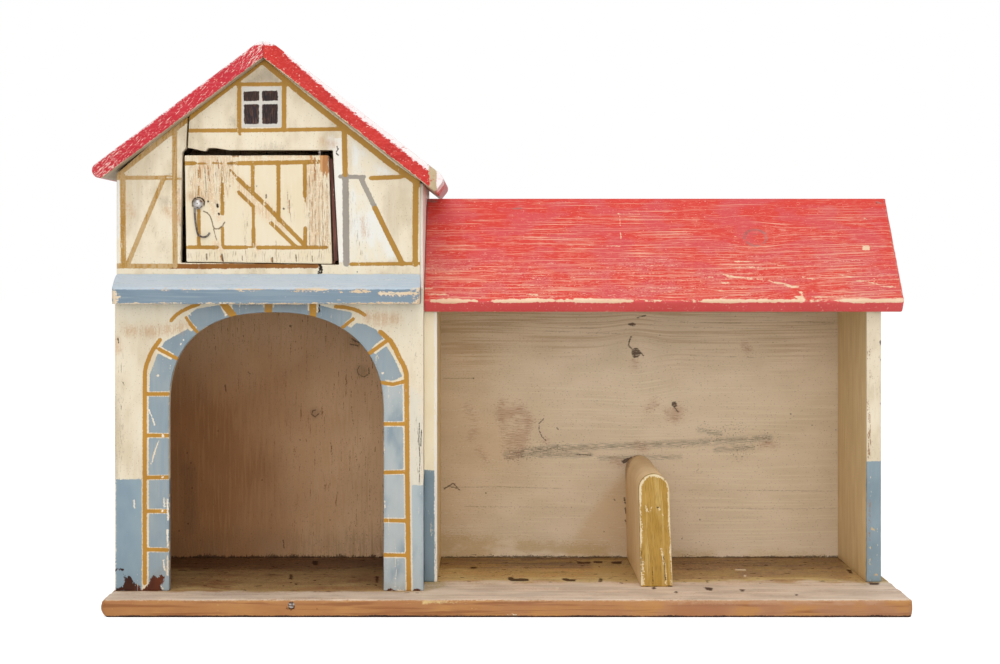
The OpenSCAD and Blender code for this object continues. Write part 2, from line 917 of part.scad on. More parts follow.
// A long splinter is gone from the front along the hinge edge, so that the door turns in its opening
module hatch_door() {
    color(cream)
        difference() {
            union() {
                push_back(front_y, board_t)
                    door_outline(door_step_w);
                push_back(front_y + door_step_d, board_t - door_step_d)
                    door_outline(0, door_step_short);
            }
            translate([pivot_x, front_mid_y, door_foot_at_pivot_z - 2])
                cylinder(h = pivot_reach + 2 + hole_spare, r = pivot_r + running_fit);
            translate([pivot_x, front_mid_y, door_top_z - pivot_reach - hole_spare])
                cylinder(h = pivot_reach + hole_spare + 1, r = pivot_r + running_fit);
            translate([latch_nail_x, front_y - 1, latch_nail_z])
                rotate([-90, 0, 0])
                    cylinder(h = board_t + 2, r = latch_shank_r + driven_fit);
        }
}

module pivot_nail_bottom() {
    color(steel)
        at_pivot_bottom()
            nail(pivot_low_len, pivot_r, pivot_head_r);
}

module pivot_nail_top() {
    color(steel)
        at_pivot_top()
            nail(pivot_high_len, pivot_r, pivot_head_r);
}

module latch_nail() {
    color(steel)
        translate([latch_nail_x, dome_base_y, latch_nail_z])
            rotate([-90, 0, 0]) {
                cylinder(h = latch_len, r = latch_shank_r);
                intersection() {
                    translate([0, 0, dome_r - latch_dome_h])
                        sphere(dome_r);
                    translate([0, 0, -latch_dome_h - 1])
                        cylinder(h = latch_dome_h + 1, r = latch_head_r + 1);
                }
            }
}

// A bend of wire with a rounded end, which is also where the next bend joins on
module wire_bend(r, turn) {
    trim = bend_gap / r * 180 / PI;
    rotate([0, 0, trim])
        rotate_extrude(angle = turn - 2 * trim)
            translate([r, 0])
                circle(wire_r);
    rotate([0, 0, turn])
        translate([r, 0, 0])
            sphere(bend_share * wire_r);
}

// An eye round the latch nail, a bent shank and a crook, made from one wire
module latch_hook() {
    color(dark_wire)
        translate([latch_nail_x, hook_plane_y, latch_nail_z])
            rotate([90, hook_lean, 0]) {
                rotate([0, 0, 180 - eye_turn])
                    wire_bend(eye_ring_r, eye_turn);
                translate([shank_bend_r - eye_ring_r, 0, 0])
                    rotate([0, 0, 180]) {
                        wire_bend(shank_bend_r, shank_turn);
                        rotate([0, 0, shank_turn])
                            translate([shank_bend_r - crook_r, 0, 0])
                                wire_bend(crook_r, crook_turn);
                    }
            }
}

module base_nails() {
    color(steel)
        at_base_nails()
            nail();
}

module base_edge_nail() {
    color(steel)
        at_base_edge_nail()
            nail();
}

module front_nails() {
    color(steel)
        at_front_nails()
            nail();
}

module ledge_nails() {
    color(steel)
        at_ledge_nails()
            nail();
}

module back_nails() {
    color(steel)
        at_back_nails()
            nail();
}

module loft_nails() {
    color(steel)
        at_loft_nails()
            nail();
}

module tower_roof_nails() {
    color(steel)
        at_tower_roof_nails()
            nail();
}

module shed_roof_nails() {
    color(steel)
        at_shed_roof_nails()
            nail();
}

baseboard();
arch_board();
gable_board();
ledge();
tower_left_wall();
tower_right_wall();
tower_back_wall();
loft_floor();
tower_roof_left();
tower_roof_right();
shed_left_wall();
shed_right_wall();
shed_back_wall();
shed_roof_front();
shed_roof_rear();
stall_partition();
hatch_door();
pivot_nail_top();
pivot_nail_bottom();
latch_nail();
latch_hook();
base_nails();
base_edge_nail();
front_nails();
ledge_nails();
back_nails();
loft_nails();
tower_roof_nails();
shed_roof_nails();
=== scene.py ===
"""An old toy stable in enamelled pine: a tower with an arch and a hayloft, and an open shed beside it."""

import math
from statistics import NormalDist
from typing import NamedTuple

import bmesh
import bpy
import numpy as np
from bpy.props import FloatProperty, FloatVectorProperty, PointerProperty
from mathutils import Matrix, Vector, noise
from mathutils.geometry import delaunay_2d_cdt


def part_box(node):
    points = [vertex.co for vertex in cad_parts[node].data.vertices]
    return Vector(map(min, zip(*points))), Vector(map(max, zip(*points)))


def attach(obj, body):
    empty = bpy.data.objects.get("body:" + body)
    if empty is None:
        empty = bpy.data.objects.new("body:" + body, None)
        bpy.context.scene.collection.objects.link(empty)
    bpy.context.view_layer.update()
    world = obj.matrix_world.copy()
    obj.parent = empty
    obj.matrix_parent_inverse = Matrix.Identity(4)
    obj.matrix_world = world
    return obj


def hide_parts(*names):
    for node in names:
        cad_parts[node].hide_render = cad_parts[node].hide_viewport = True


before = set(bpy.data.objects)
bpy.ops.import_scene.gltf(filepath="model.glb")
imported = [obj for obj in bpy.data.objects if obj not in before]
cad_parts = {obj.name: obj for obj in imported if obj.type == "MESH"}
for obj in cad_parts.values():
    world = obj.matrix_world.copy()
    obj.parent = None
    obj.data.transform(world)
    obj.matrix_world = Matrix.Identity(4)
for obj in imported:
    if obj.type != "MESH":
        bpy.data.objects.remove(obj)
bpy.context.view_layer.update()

bl_info = {
    "name": "Toy Stable",
    "version": (1, 0, 0),
    "blender": (4, 5, 0),
    "location": "3D View > Sidebar > Toy Stable",
    "description": "Builds an old painted toy stable on its packed frame",
    "category": "Object",
}

MM = 0.001
TINY = 1e-12
FAR = -9.0  # the depth in mm of all that lies outside a mark
STRAIGHT = math.radians(18)  # corners that turn less than this stay as they are
SHINE = 0.15  # old enamel and varnish mirror little

# The painted layers that each material reads. A piece carries them all, since a missing one would read 0.
LAYERS_OF = {}

# How far each of the shader's noises strays from its middle.
SPREAD = {"fray": 0.075, "speck": 0.11, "cloud": 0.09, "fibre": 0.1, "rings": 0.1, "strokes": 0.1}

# Marks of paint and wear on each face, in mm. Each starts with its width: 0 is a filled shape,
# one point is a round spot, and several points are a brush line or a scratch.
GABLE = {
    "ochre": (
        (3.6, (-267.2, 295.8), (-218.9, 334.1), (-167.4, 374.2)),
        (4.1, (-167.4, 374.2), (-141.1, 352.0), (-107.4, 325.2)), (4.1, (-105.8, 324.1), (-103.3, 322.1)),
        (4.1, (-101.6, 320.9), (-80.3, 304.0), (-60.5, 290.1)), (2.7, (-184.2, 358.2), (-150.7, 358.4)),
        (3.1, (-183.4, 358.4), (-183.3, 326.3)), (1.8, (-183.1, 326.3), (-182.9, 323.9)),
        (3.3, (-152.7, 359.8), (-152.7, 327.0)),
        (2.7, (-217.9, 326.6), (-167.8, 326.8), (-121.3, 327.6), (-111.7, 327.7)),
        (3.4, (-227.4, 328.4), (-227.5, 279.2), (-227.2, 234.1)),
        (3.6, (-111.6, 327.7), (-111.3, 313.3), (-110.9, 296.5)), (2.7, (-266.9, 294.3), (-234.4, 294.5)),
        (1.1, (-234.1, 295.6), (-229.3, 295.4)), (1.4, (-233.4, 293.4), (-223.4, 293.7)),
        (3.0, (-93.3, 294.1), (-73.8, 294.9), (-70.7, 296.0)),
        (3.8, (-263.0, 295.6), (-262.7, 262.1), (-262.5, 234.1)),
        (4.0, (-62.7, 291.1), (-62.9, 265.5), (-63.1, 235.4)),
        (3.1, (-235.0, 293.7), (-247.6, 264.1), (-259.8, 234.7)),
        (3.6, (-90.5, 273.7), (-81.7, 255.3), (-71.8, 235.7)), (2.5, (-106.9, 235.3), (-60.5, 235.7)),
        (3.3, (-267.1, 234.1), (-230.6, 233.9)),
    ),
    "grey": (
        (4.4, (-110.8, 296.5), (-110.4, 265.5), (-110.1, 235.8)), (2.7, (-114.5, 295.2), (-98.1, 294.9)),
        (3.4, (-100.4, 294.2), (-96.0, 285.3), (-90.5, 273.7)),
    ),
    "sill": (
        (3.4, (-231.3, 233.9), (-210.1, 233.8), (-167.8, 234.3), (-129.5, 234.3)),
    ),
    # peak: painted shade under the roof's peak, with some dirt.
    "peak": (
        (0, (-178.7, 359.1), (-165.3, 369.7), (-152.7, 359.1)),
    ),
    "white": (
        (0, (-181.7, 356.4), (-154.5, 356.7), (-154.4, 328.9), (-181.7, 328.8)),
    ),
    "strip": (
        (0, (-118.3, 321.5), (-113.5, 321.5), (-112.5, 236.8), (-117.5, 236.8)),
        (0, (-118.6, 320.2), (-111.0, 321.5), (-111.7, 236.8), (-117.5, 236.8)),
    ),
    "pane": (
        (0, (-180.4, 353.3), (-169.7, 353.6), (-169.6, 347.0), (-180.3, 346.7)),
        (0, (-167.8, 353.7), (-157.0, 353.9), (-156.8, 347.2), (-167.7, 346.8)),
        (0, (-180.1, 344.5), (-169.7, 344.7), (-169.7, 331.1), (-179.9, 331.0)),
        (0, (-167.8, 344.5), (-157.0, 344.8), (-157.0, 331.4), (-167.6, 331.0)),
    ),
    "dark": (
        (1.8, (-128.4, 235.0), (-127.3, 233.1), (-128.5, 231.5)), (1.4, (-128.5, 231.5), (-129.4, 229.1)),
        (1.2, (-129.4, 229.1), (-127.2, 229.4), (-126.8, 231.3)), (1.1, (-102.5, 230.0)),
        (0.8, (-116.6, 315.7), (-115.6, 314.0), (-116.9, 312.4)), (0.8, (-117.1, 311.3), (-115.6, 309.7)),
        (0.7, (-259.3, 308.6), (-257.0, 309.7)),
    ),
    "scuff": (
        (3.4, (-212.2, 310.6), (-204.0, 309.9)), (2.7, (-120.2, 321.5), (-119.5, 313.3)),
    ),
    "soil": (
        (4.8, (-234.7, 278.5), (-227.2, 276.8)), (3.4, (-167.8, 315.7), (-152.7, 315.0)),
        (2.7, (-232.0, 294.2), (-223.1, 292.8)), (4.1, (-188.3, 333.8), (-184.2, 328.4)),
        (2.1, (-180.7, 332.5), (-178.0, 327.7)),
    ),
    "smear": (
        (4.8, (-232.7, 272.3), (-223.8, 265.5)), (3.4, (-226.5, 286.0), (-221.8, 269.6)),
        (4.1, (-126.1, 319.5), (-118.6, 316.8)), (4.1, (-99.4, 265.5), (-96.7, 255.9)),
        (3.4, (-259.3, 275.1), (-257.3, 269.6)), (2.7, (-121.3, 306.5), (-119.9, 245.0)),
    ),
    "chalk": (
        (0, (-107.6, 292.8), (-95.3, 290.1), (-74.8, 239.5), (-107.6, 238.2)),
        (0, (-106.3, 320.2), (-104.9, 296.9), (-78.9, 296.9)), (2.7, (-117.9, 313.3), (-115.8, 238.2)),
        (4.1, (-121.3, 320.2), (-113.8, 298.3)),
        (0, (-267.5, 292.8), (-264.1, 292.8), (-264.1, 236.8), (-267.5, 236.8)),
    ),
    "split": (
        (2.1, (-218.3, 318.8), (-217.9, 310.6)), (2.7, (-225.2, 286.0), (-222.4, 236.8)),
        (3.4, (-107.6, 286.0), (-99.4, 239.5)), (2.7, (-242.9, 261.4), (-232.0, 239.5)),
    ),
}

HATCH = {
    "ochre": (
        (2.9, (-220.7, 304.2), (-214.2, 304.3)), (1.4, (-212.2, 304.2), (-206.0, 304.0)),
        (1.2, (-201.3, 304.5), (-195.1, 304.2)), (1.8, (-191.0, 304.2), (-184.8, 304.3)),
        (3.0, (-184.8, 304.3), (-155.5, 304.7), (-129.4, 305.3)), (0.8, (-211.4, 299.7), (-211.1, 294.2)),
        (1.0, (-211.0, 288.7), (-211.0, 282.6)), (2.6, (-211.0, 272.3), (-210.9, 247.3)),
        (0.9, (-195.2, 302.4), (-195.0, 291.5)), (2.2, (-195.0, 290.4), (-194.8, 283.3)),
        (2.7, (-194.8, 283.3), (-194.8, 269.9)), (2.1, (-194.8, 260.0), (-194.7, 248.1)),
        (2.7, (-174.1, 303.8), (-174.1, 283.5)), (2.0, (-173.7, 275.1), (-173.6, 259.4)),
        (2.7, (-173.6, 259.4), (-173.5, 247.7)), (2.7, (-156.5, 304.5), (-156.4, 265.5)),
        (2.7, (-138.5, 304.5), (-138.4, 281.9)), (1.1, (-138.4, 281.9), (-138.1, 277.8)),
        (2.7, (-138.2, 260.0), (-138.2, 247.7)), (1.5, (-189.4, 299.7), (-185.1, 294.9)),
        (2.9, (-184.4, 293.8), (-165.0, 275.5), (-148.5, 258.4), (-138.4, 248.1)),
        (2.5, (-183.8, 284.5), (-173.8, 274.8)), (2.7, (-161.6, 263.4), (-153.4, 255.5), (-145.2, 247.7)),
        (2.6, (-218.8, 246.9), (-198.6, 246.8)), (2.6, (-193.7, 246.8), (-178.7, 246.8)),
        (1.2, (-178.0, 247.2), (-173.9, 246.9)), (2.6, (-170.4, 246.6), (-163.1, 246.8)),
        (2.6, (-162.0, 246.8), (-156.3, 246.8)), (2.6, (-155.1, 246.6), (-127.3, 246.8)),
        (2.3, (-125.7, 246.8), (-123.8, 246.8)),
    ),
    "bare": (
        (0, (-127.9, 310.3), (-120.2, 310.3), (-120.1, 300.4), (-120.9, 294.5), (-122.3, 298.3),
         (-123.5, 292.8), (-124.6, 298.7), (-125.8, 293.9), (-126.8, 299.7), (-127.7, 298.3)),
        (0.8, (-131.8, 309.2), (-131.5, 301.0), (-132.0, 292.8)), (1.2, (-134.6, 310.2), (-133.6, 305.1)),
        (1.0, (-187.6, 309.0), (-183.5, 309.2)), (0.6, (-204.8, 302.4), (-203.7, 292.2)),
        (0.5, (-210.7, 303.8), (-209.9, 294.2)), (0.8, (-198.1, 307.9), (-197.3, 301.0)),
        (0.8, (-120.9, 294.2), (-119.8, 276.4), (-120.1, 269.6)), (0.7, (-119.2, 268.2), (-118.6, 240.9)),
        (1.1, (-195.9, 240.9), (-194.7, 237.2)), (1.0, (-161.3, 239.5), (-160.8, 236.8)),
        (0.7, (-149.3, 279.2), (-148.9, 269.6)),
    ),
    "dark": (
        (0.8, (-207.6, 271.5), (-205.0, 270.3), (-203.0, 267.9), (-201.9, 264.5), (-201.3, 261.4),
         (-199.9, 259.4), (-197.2, 259.5), (-194.8, 261.4), (-193.3, 263.9)),
        (0.5, (-200.8, 259.4), (-199.6, 254.6), (-198.8, 251.8)), (0.5, (-207.0, 300.8), (-205.6, 284.6)),
        (1.1, (-195.1, 241.9), (-194.4, 237.5)), (1.0, (-160.7, 239.9), (-160.4, 236.8)),
        (0.6, (-133.6, 240.9), (-133.3, 237.1)), (0.6, (-144.5, 241.6), (-144.3, 237.5)),
        (0.6, (-181.4, 240.9), (-181.2, 237.2)), (0.7, (-205.8, 242.3), (-205.5, 238.2)),
        (0.7, (-188.3, 309.5), (-167.8, 309.9)), (0.8, (-141.8, 310.3), (-130.9, 310.2)),
    ),
    "hair": (
        (0.5, (-174.6, 272.3), (-174.2, 264.8)), (0.6, (-150.4, 286.0), (-150.0, 269.6)),
        (0.6, (-135.4, 295.6), (-135.1, 247.7)), (0.6, (-131.3, 299.7), (-131.0, 247.7)),
        (0.6, (-126.4, 292.8), (-126.1, 245.0)), (0.5, (-123.3, 290.1), (-123.1, 249.1)),
        (0.5, (-133.2, 286.0), (-133.3, 257.3)), (0.5, (-128.8, 281.9), (-128.5, 243.6)),
        (0.5, (-179.7, 254.6), (-178.3, 236.8)), (0.5, (-177.7, 269.6), (-178.0, 261.4)),
        (0.5, (-158.2, 251.8), (-157.8, 236.8)),
    ),
    # pit: real nail holes, and a dark ring round the latch nail's head that is painted shadow together with
    # rust stain.
    "pit": (
        (1.0, (-207.3, 275.2), (-207.2, 278.1), (-208.6, 280.1), (-211.3, 280.9), (-213.8, 280.1),
         (-215.2, 277.7), (-215.0, 274.9)), (1.5, (-204.7, 278.2)),
        (1.6, (-198.2, 276.0), (-198.1, 274.4)), (1.2, (-197.4, 270.0), (-197.2, 269.2)),
        (1.5, (-152.9, 273.2)), (1.0, (-164.8, 282.9), (-165.0, 280.5)), (0.9, (-189.6, 288.7)),
        (0.9, (-171.6, 288.5)),
    ),
    "peel": (
        (0, (-218.3, 306.5), (-185.5, 307.9), (-184.2, 295.6), (-189.0, 288.7), (-192.4, 279.2),
         (-200.6, 276.4), (-208.8, 281.9), (-217.0, 288.7)),
        (0, (-187.6, 292.8), (-182.8, 295.6), (-160.9, 275.1), (-148.6, 260.0), (-151.4, 255.9),
         (-167.8, 268.2), (-182.8, 281.9)),
        (0, (-137.7, 309.2), (-128.1, 309.2), (-126.8, 290.1), (-121.3, 286.0), (-119.9, 247.7),
         (-136.3, 247.7), (-138.4, 279.2)), (3.4, (-201.9, 275.1), (-197.2, 266.9)),
        (3.4, (-218.3, 308.2), (-128.1, 309.0)), (4.1, (-199.2, 249.1), (-196.5, 245.0)),
        (4.1, (-173.2, 247.7), (-170.5, 245.0)), (3.4, (-163.7, 268.2), (-155.5, 264.1)),
    ),
    "split": (
        (0, (-218.3, 305.1), (-186.9, 306.5), (-193.7, 275.1), (-217.0, 279.2)),
        (0, (-138.4, 308.6), (-120.6, 292.8), (-119.2, 240.9), (-137.7, 240.9)),
        (0, (-218.3, 244.3), (-124.0, 244.3), (-124.0, 236.8), (-218.3, 236.8)),
        (3.4, (-178.7, 269.6), (-178.0, 251.8)), (4.1, (-150.0, 281.9), (-147.3, 265.5)),
    ),
    "smear": (
        (4.1, (-207.4, 306.5), (-206.0, 299.7)), (3.4, (-199.2, 307.9), (-196.5, 302.4)),
        (5.5, (-215.6, 281.9), (-207.4, 280.5)),
    ),
}

ARCH = {
    "ochre": (
        (2.6, (-211.0, 208.0), (-217.0, 205.9), (-222.8, 203.1), (-226.9, 200.2), (-229.8, 196.8)),
        (2.9, (-237.5, 183.6), (-241.6, 178.0), (-244.0, 173.7), (-245.8, 168.9), (-247.2, 165.0),
         (-247.9, 160.5), (-247.9, 128.8), (-247.9, 17.4)),
        (2.6, (-117.3, 206.3), (-111.0, 205.8), (-105.4, 204.6), (-101.2, 203.0), (-97.6, 200.6)),
        (3.3, (-86.9, 189.0), (-80.2, 183.2), (-76.5, 177.1), (-73.5, 170.5), (-70.7, 165.5),
         (-69.1, 160.3), (-68.9, 145.2), (-68.7, 128.8), (-68.3, 74.2), (-67.4, 12.6)),
        (4.9, (-194.0, 208.1), (-187.3, 199.9)), (5.1, (-163.3, 208.1), (-163.4, 202.4)),
        (4.9, (-133.0, 208.1), (-132.9, 198.5)), (2.3, (-216.6, 194.0), (-211.6, 188.4)),
        (2.3, (-112.8, 192.0), (-105.4, 197.9)), (2.6, (-238.2, 177.3), (-226.0, 170.8)),
        (2.7, (-95.1, 173.9), (-82.8, 182.7)), (2.1, (-219.7, 198.9), (-216.0, 193.7)),
        (2.6, (-246.4, 146.6), (-232.0, 146.6)), (2.6, (-246.4, 118.3), (-232.0, 118.2)),
        (2.6, (-246.4, 89.5), (-232.0, 89.7)), (2.6, (-246.4, 66.6), (-232.3, 66.4)),
        (2.6, (-246.4, 40.3), (-232.4, 40.0)), (2.6, (-85.9, 154.4), (-78.2, 153.2), (-70.7, 155.1)),
        (2.6, (-85.8, 126.1), (-70.0, 126.1)), (2.6, (-85.3, 92.9), (-69.4, 93.3)),
        (2.6, (-84.8, 60.3), (-69.1, 59.9)), (2.6, (-84.4, 36.6), (-68.7, 36.3)),
    ),
    "stone": (
        (0, (-218.7, 199.9), (-212.4, 205.0), (-196.5, 207.4), (-193.3, 200.6), (-206.0, 196.1),
         (-211.2, 191.4), (-215.2, 194.8)),
        (0, (-188.5, 207.7), (-167.1, 207.7), (-167.1, 202.1), (-178.0, 201.5), (-186.2, 199.9)),
        (0, (-159.4, 207.6), (-136.6, 207.6), (-136.5, 199.6), (-147.9, 201.4), (-159.3, 201.5)),
        (0, (-129.2, 207.6), (-117.2, 204.4), (-106.5, 202.5), (-106.4, 199.1), (-113.5, 193.5),
         (-121.3, 197.3), (-128.9, 199.2)),
        (0, (-109.4, 190.2), (-103.4, 195.0), (-96.7, 194.0), (-89.9, 190.6), (-84.9, 184.6),
         (-95.1, 176.4), (-102.2, 183.8)),
        (0, (-92.9, 172.3), (-82.6, 179.4), (-77.3, 170.5), (-71.8, 158.6), (-78.2, 155.5),
         (-87.5, 157.1)),
        (0, (-234.3, 182.5), (-225.9, 187.2), (-218.6, 191.1), (-212.6, 186.8), (-219.3, 180.5),
         (-225.6, 172.7), (-236.5, 178.8)),
        (0, (-239.2, 174.6), (-227.1, 168.7), (-229.8, 158.9), (-230.9, 148.4), (-244.6, 148.4),
         (-244.4, 159.8)), (0, (-245.1, 144.8), (-230.9, 144.8), (-230.9, 119.9), (-245.1, 120.1)),
        (0, (-245.1, 116.5), (-230.9, 116.4), (-230.9, 91.5), (-245.1, 91.2)),
        (0, (-245.1, 87.7), (-230.9, 88.0), (-230.9, 68.1), (-245.1, 68.3)),
        (0, (-245.1, 64.9), (-230.9, 64.7), (-230.9, 41.6), (-245.1, 42.0)),
        (0, (-245.1, 38.5), (-230.9, 38.3), (-230.9, 12.0), (-245.1, 12.0)),
        (0, (-86.4, 152.3), (-78.2, 151.4), (-71.8, 153.0), (-71.5, 127.9), (-85.8, 127.9)),
        (0, (-85.8, 124.2), (-71.4, 124.2), (-71.0, 95.1), (-85.5, 94.7)),
        (0, (-85.5, 91.1), (-70.9, 91.4), (-70.4, 62.0), (-85.3, 62.1)),
        (0, (-85.2, 58.4), (-70.4, 58.2), (-70.1, 38.2), (-85.2, 38.5)),
        (0, (-85.2, 34.5), (-70.0, 34.4), (-69.6, 12.0), (-85.2, 12.0)),
    ),
    "blue": (
        (0, (-269.6, 88.4), (-260.0, 88.1), (-250.0, 88.5), (-249.9, 11.3), (-269.6, 11.3)),
        (0, (-65.5, 84.4), (-53.0, 84.1), (-53.0, 11.3), (-64.7, 11.3)),
    ),
    "white": (
        (1.2, (-221.1, 183.5)), (1.0, (-223.2, 180.8)), (1.8, (-238.8, 159.2)), (1.5, (-85.4, 160.9)),
        (1.6, (-192.4, 200.6)), (0.7, (-243.5, 99.0), (-240.6, 108.3), (-238.4, 114.6)),
        (0.5, (-244.9, 135.7), (-242.5, 129.5), (-241.2, 125.6)), (1.6, (-235.8, 118.4), (-235.4, 117.9)),
        (1.4, (-235.6, 89.6)), (1.5, (-235.8, 66.6)), (1.0, (-218.3, 202.6), (-216.3, 200.6)),
        (1.1, (-232.3, 74.2), (-231.9, 60.5)), (1.2, (-232.4, 53.6), (-232.0, 42.7)),
        (1.1, (-232.1, 35.9), (-232.4, 22.9)), (0.8, (-234.7, 75.5), (-234.5, 69.4)),
        (0.8, (-235.0, 33.1), (-234.3, 26.3)), (0.7, (-237.1, 16.1), (-235.4, 13.3)),
        (0.8, (-84.7, 115.2), (-84.5, 107.0)), (0.7, (-83.7, 74.2), (-83.6, 68.7)),
        (0.8, (-74.8, 12.6), (-70.7, 12.2)), (1.1, (-268.4, 87.8), (-268.2, 50.2), (-268.2, 12.6)),
        (0.7, (-255.2, 74.2), (-255.0, 68.7)),
    ),
    "brown": (
        (0, (-262.3, 23.2), (-260.5, 20.4), (-258.2, 22.6), (-256.4, 20.2), (-254.8, 17.2),
         (-251.0, 15.9), (-250.5, 11.3), (-268.2, 11.3), (-267.3, 13.7), (-263.0, 15.0), (-261.8, 18.1)),
        (0, (-244.2, 19.7), (-241.7, 22.6), (-239.2, 20.4), (-236.6, 23.4), (-234.5, 21.7),
         (-235.1, 17.4), (-237.5, 15.2), (-235.0, 11.3), (-251.1, 11.3), (-245.0, 16.7)),
        (1.1, (-268.6, 25.4), (-266.2, 27.0), (-262.8, 26.4)),
        (1.0, (-83.4, 12.0), (-79.6, 12.9), (-76.2, 11.7)),
        (0, (-64.6, 11.3), (-63.9, 13.6), (-60.1, 13.3), (-59.8, 11.3)),
        (1.2, (-128.9, 207.7), (-128.9, 202.9)),
    ),
    "dark": (
        (0.5, (-60.2, 126.8), (-60.6, 115.2), (-59.8, 102.9), (-60.3, 86.5)),
        (0.5, (-58.8, 122.0), (-59.2, 111.1)), (0.5, (-266.2, 184.9), (-265.8, 181.4)),
        (0.5, (-263.0, 154.8), (-262.1, 152.7)),
    ),
    "smear": (
        (6.2, (-259.3, 189.6), (-238.8, 189.0), (-223.8, 191.7)), (4.1, (-244.3, 190.3), (-221.1, 193.1)),
        (6.2, (-95.3, 199.2), (-76.2, 197.8)), (2.7, (-89.9, 194.4), (-80.3, 195.8)),
        (4.1, (-267.5, 183.5), (-266.2, 176.7)), (3.4, (-269.6, 219.0), (-265.5, 214.9)),
    ),
    "soil": (
        (2.7, (-267.5, 142.5), (-267.2, 90.6)), (3.4, (-182.8, 207.4), (-139.1, 207.4)),
        (2.7, (-244.3, 19.5), (-232.0, 29.0)), (2.7, (-85.1, 15.4), (-70.7, 14.0)),
    ),
    "scuff": (
        (2.7, (-251.8, 15.4), (-246.4, 16.7)), (2.7, (-170.5, 208.4), (-141.8, 208.2)),
    ),
    "chalk": (
        (0, (-84.4, 153.4), (-68.0, 153.4), (-57.1, 142.5), (-57.1, 11.3), (-84.4, 11.3)),
        (0, (-237.5, 210.8), (-210.1, 210.8), (-223.8, 202.6)),
    ),
    "split": (
        (3.4, (-61.2, 128.8), (-59.8, 85.1)), (2.1, (-264.1, 176.7), (-263.4, 94.7)),
        (2.7, (-63.9, 190.3), (-62.5, 169.8)),
    ),
}

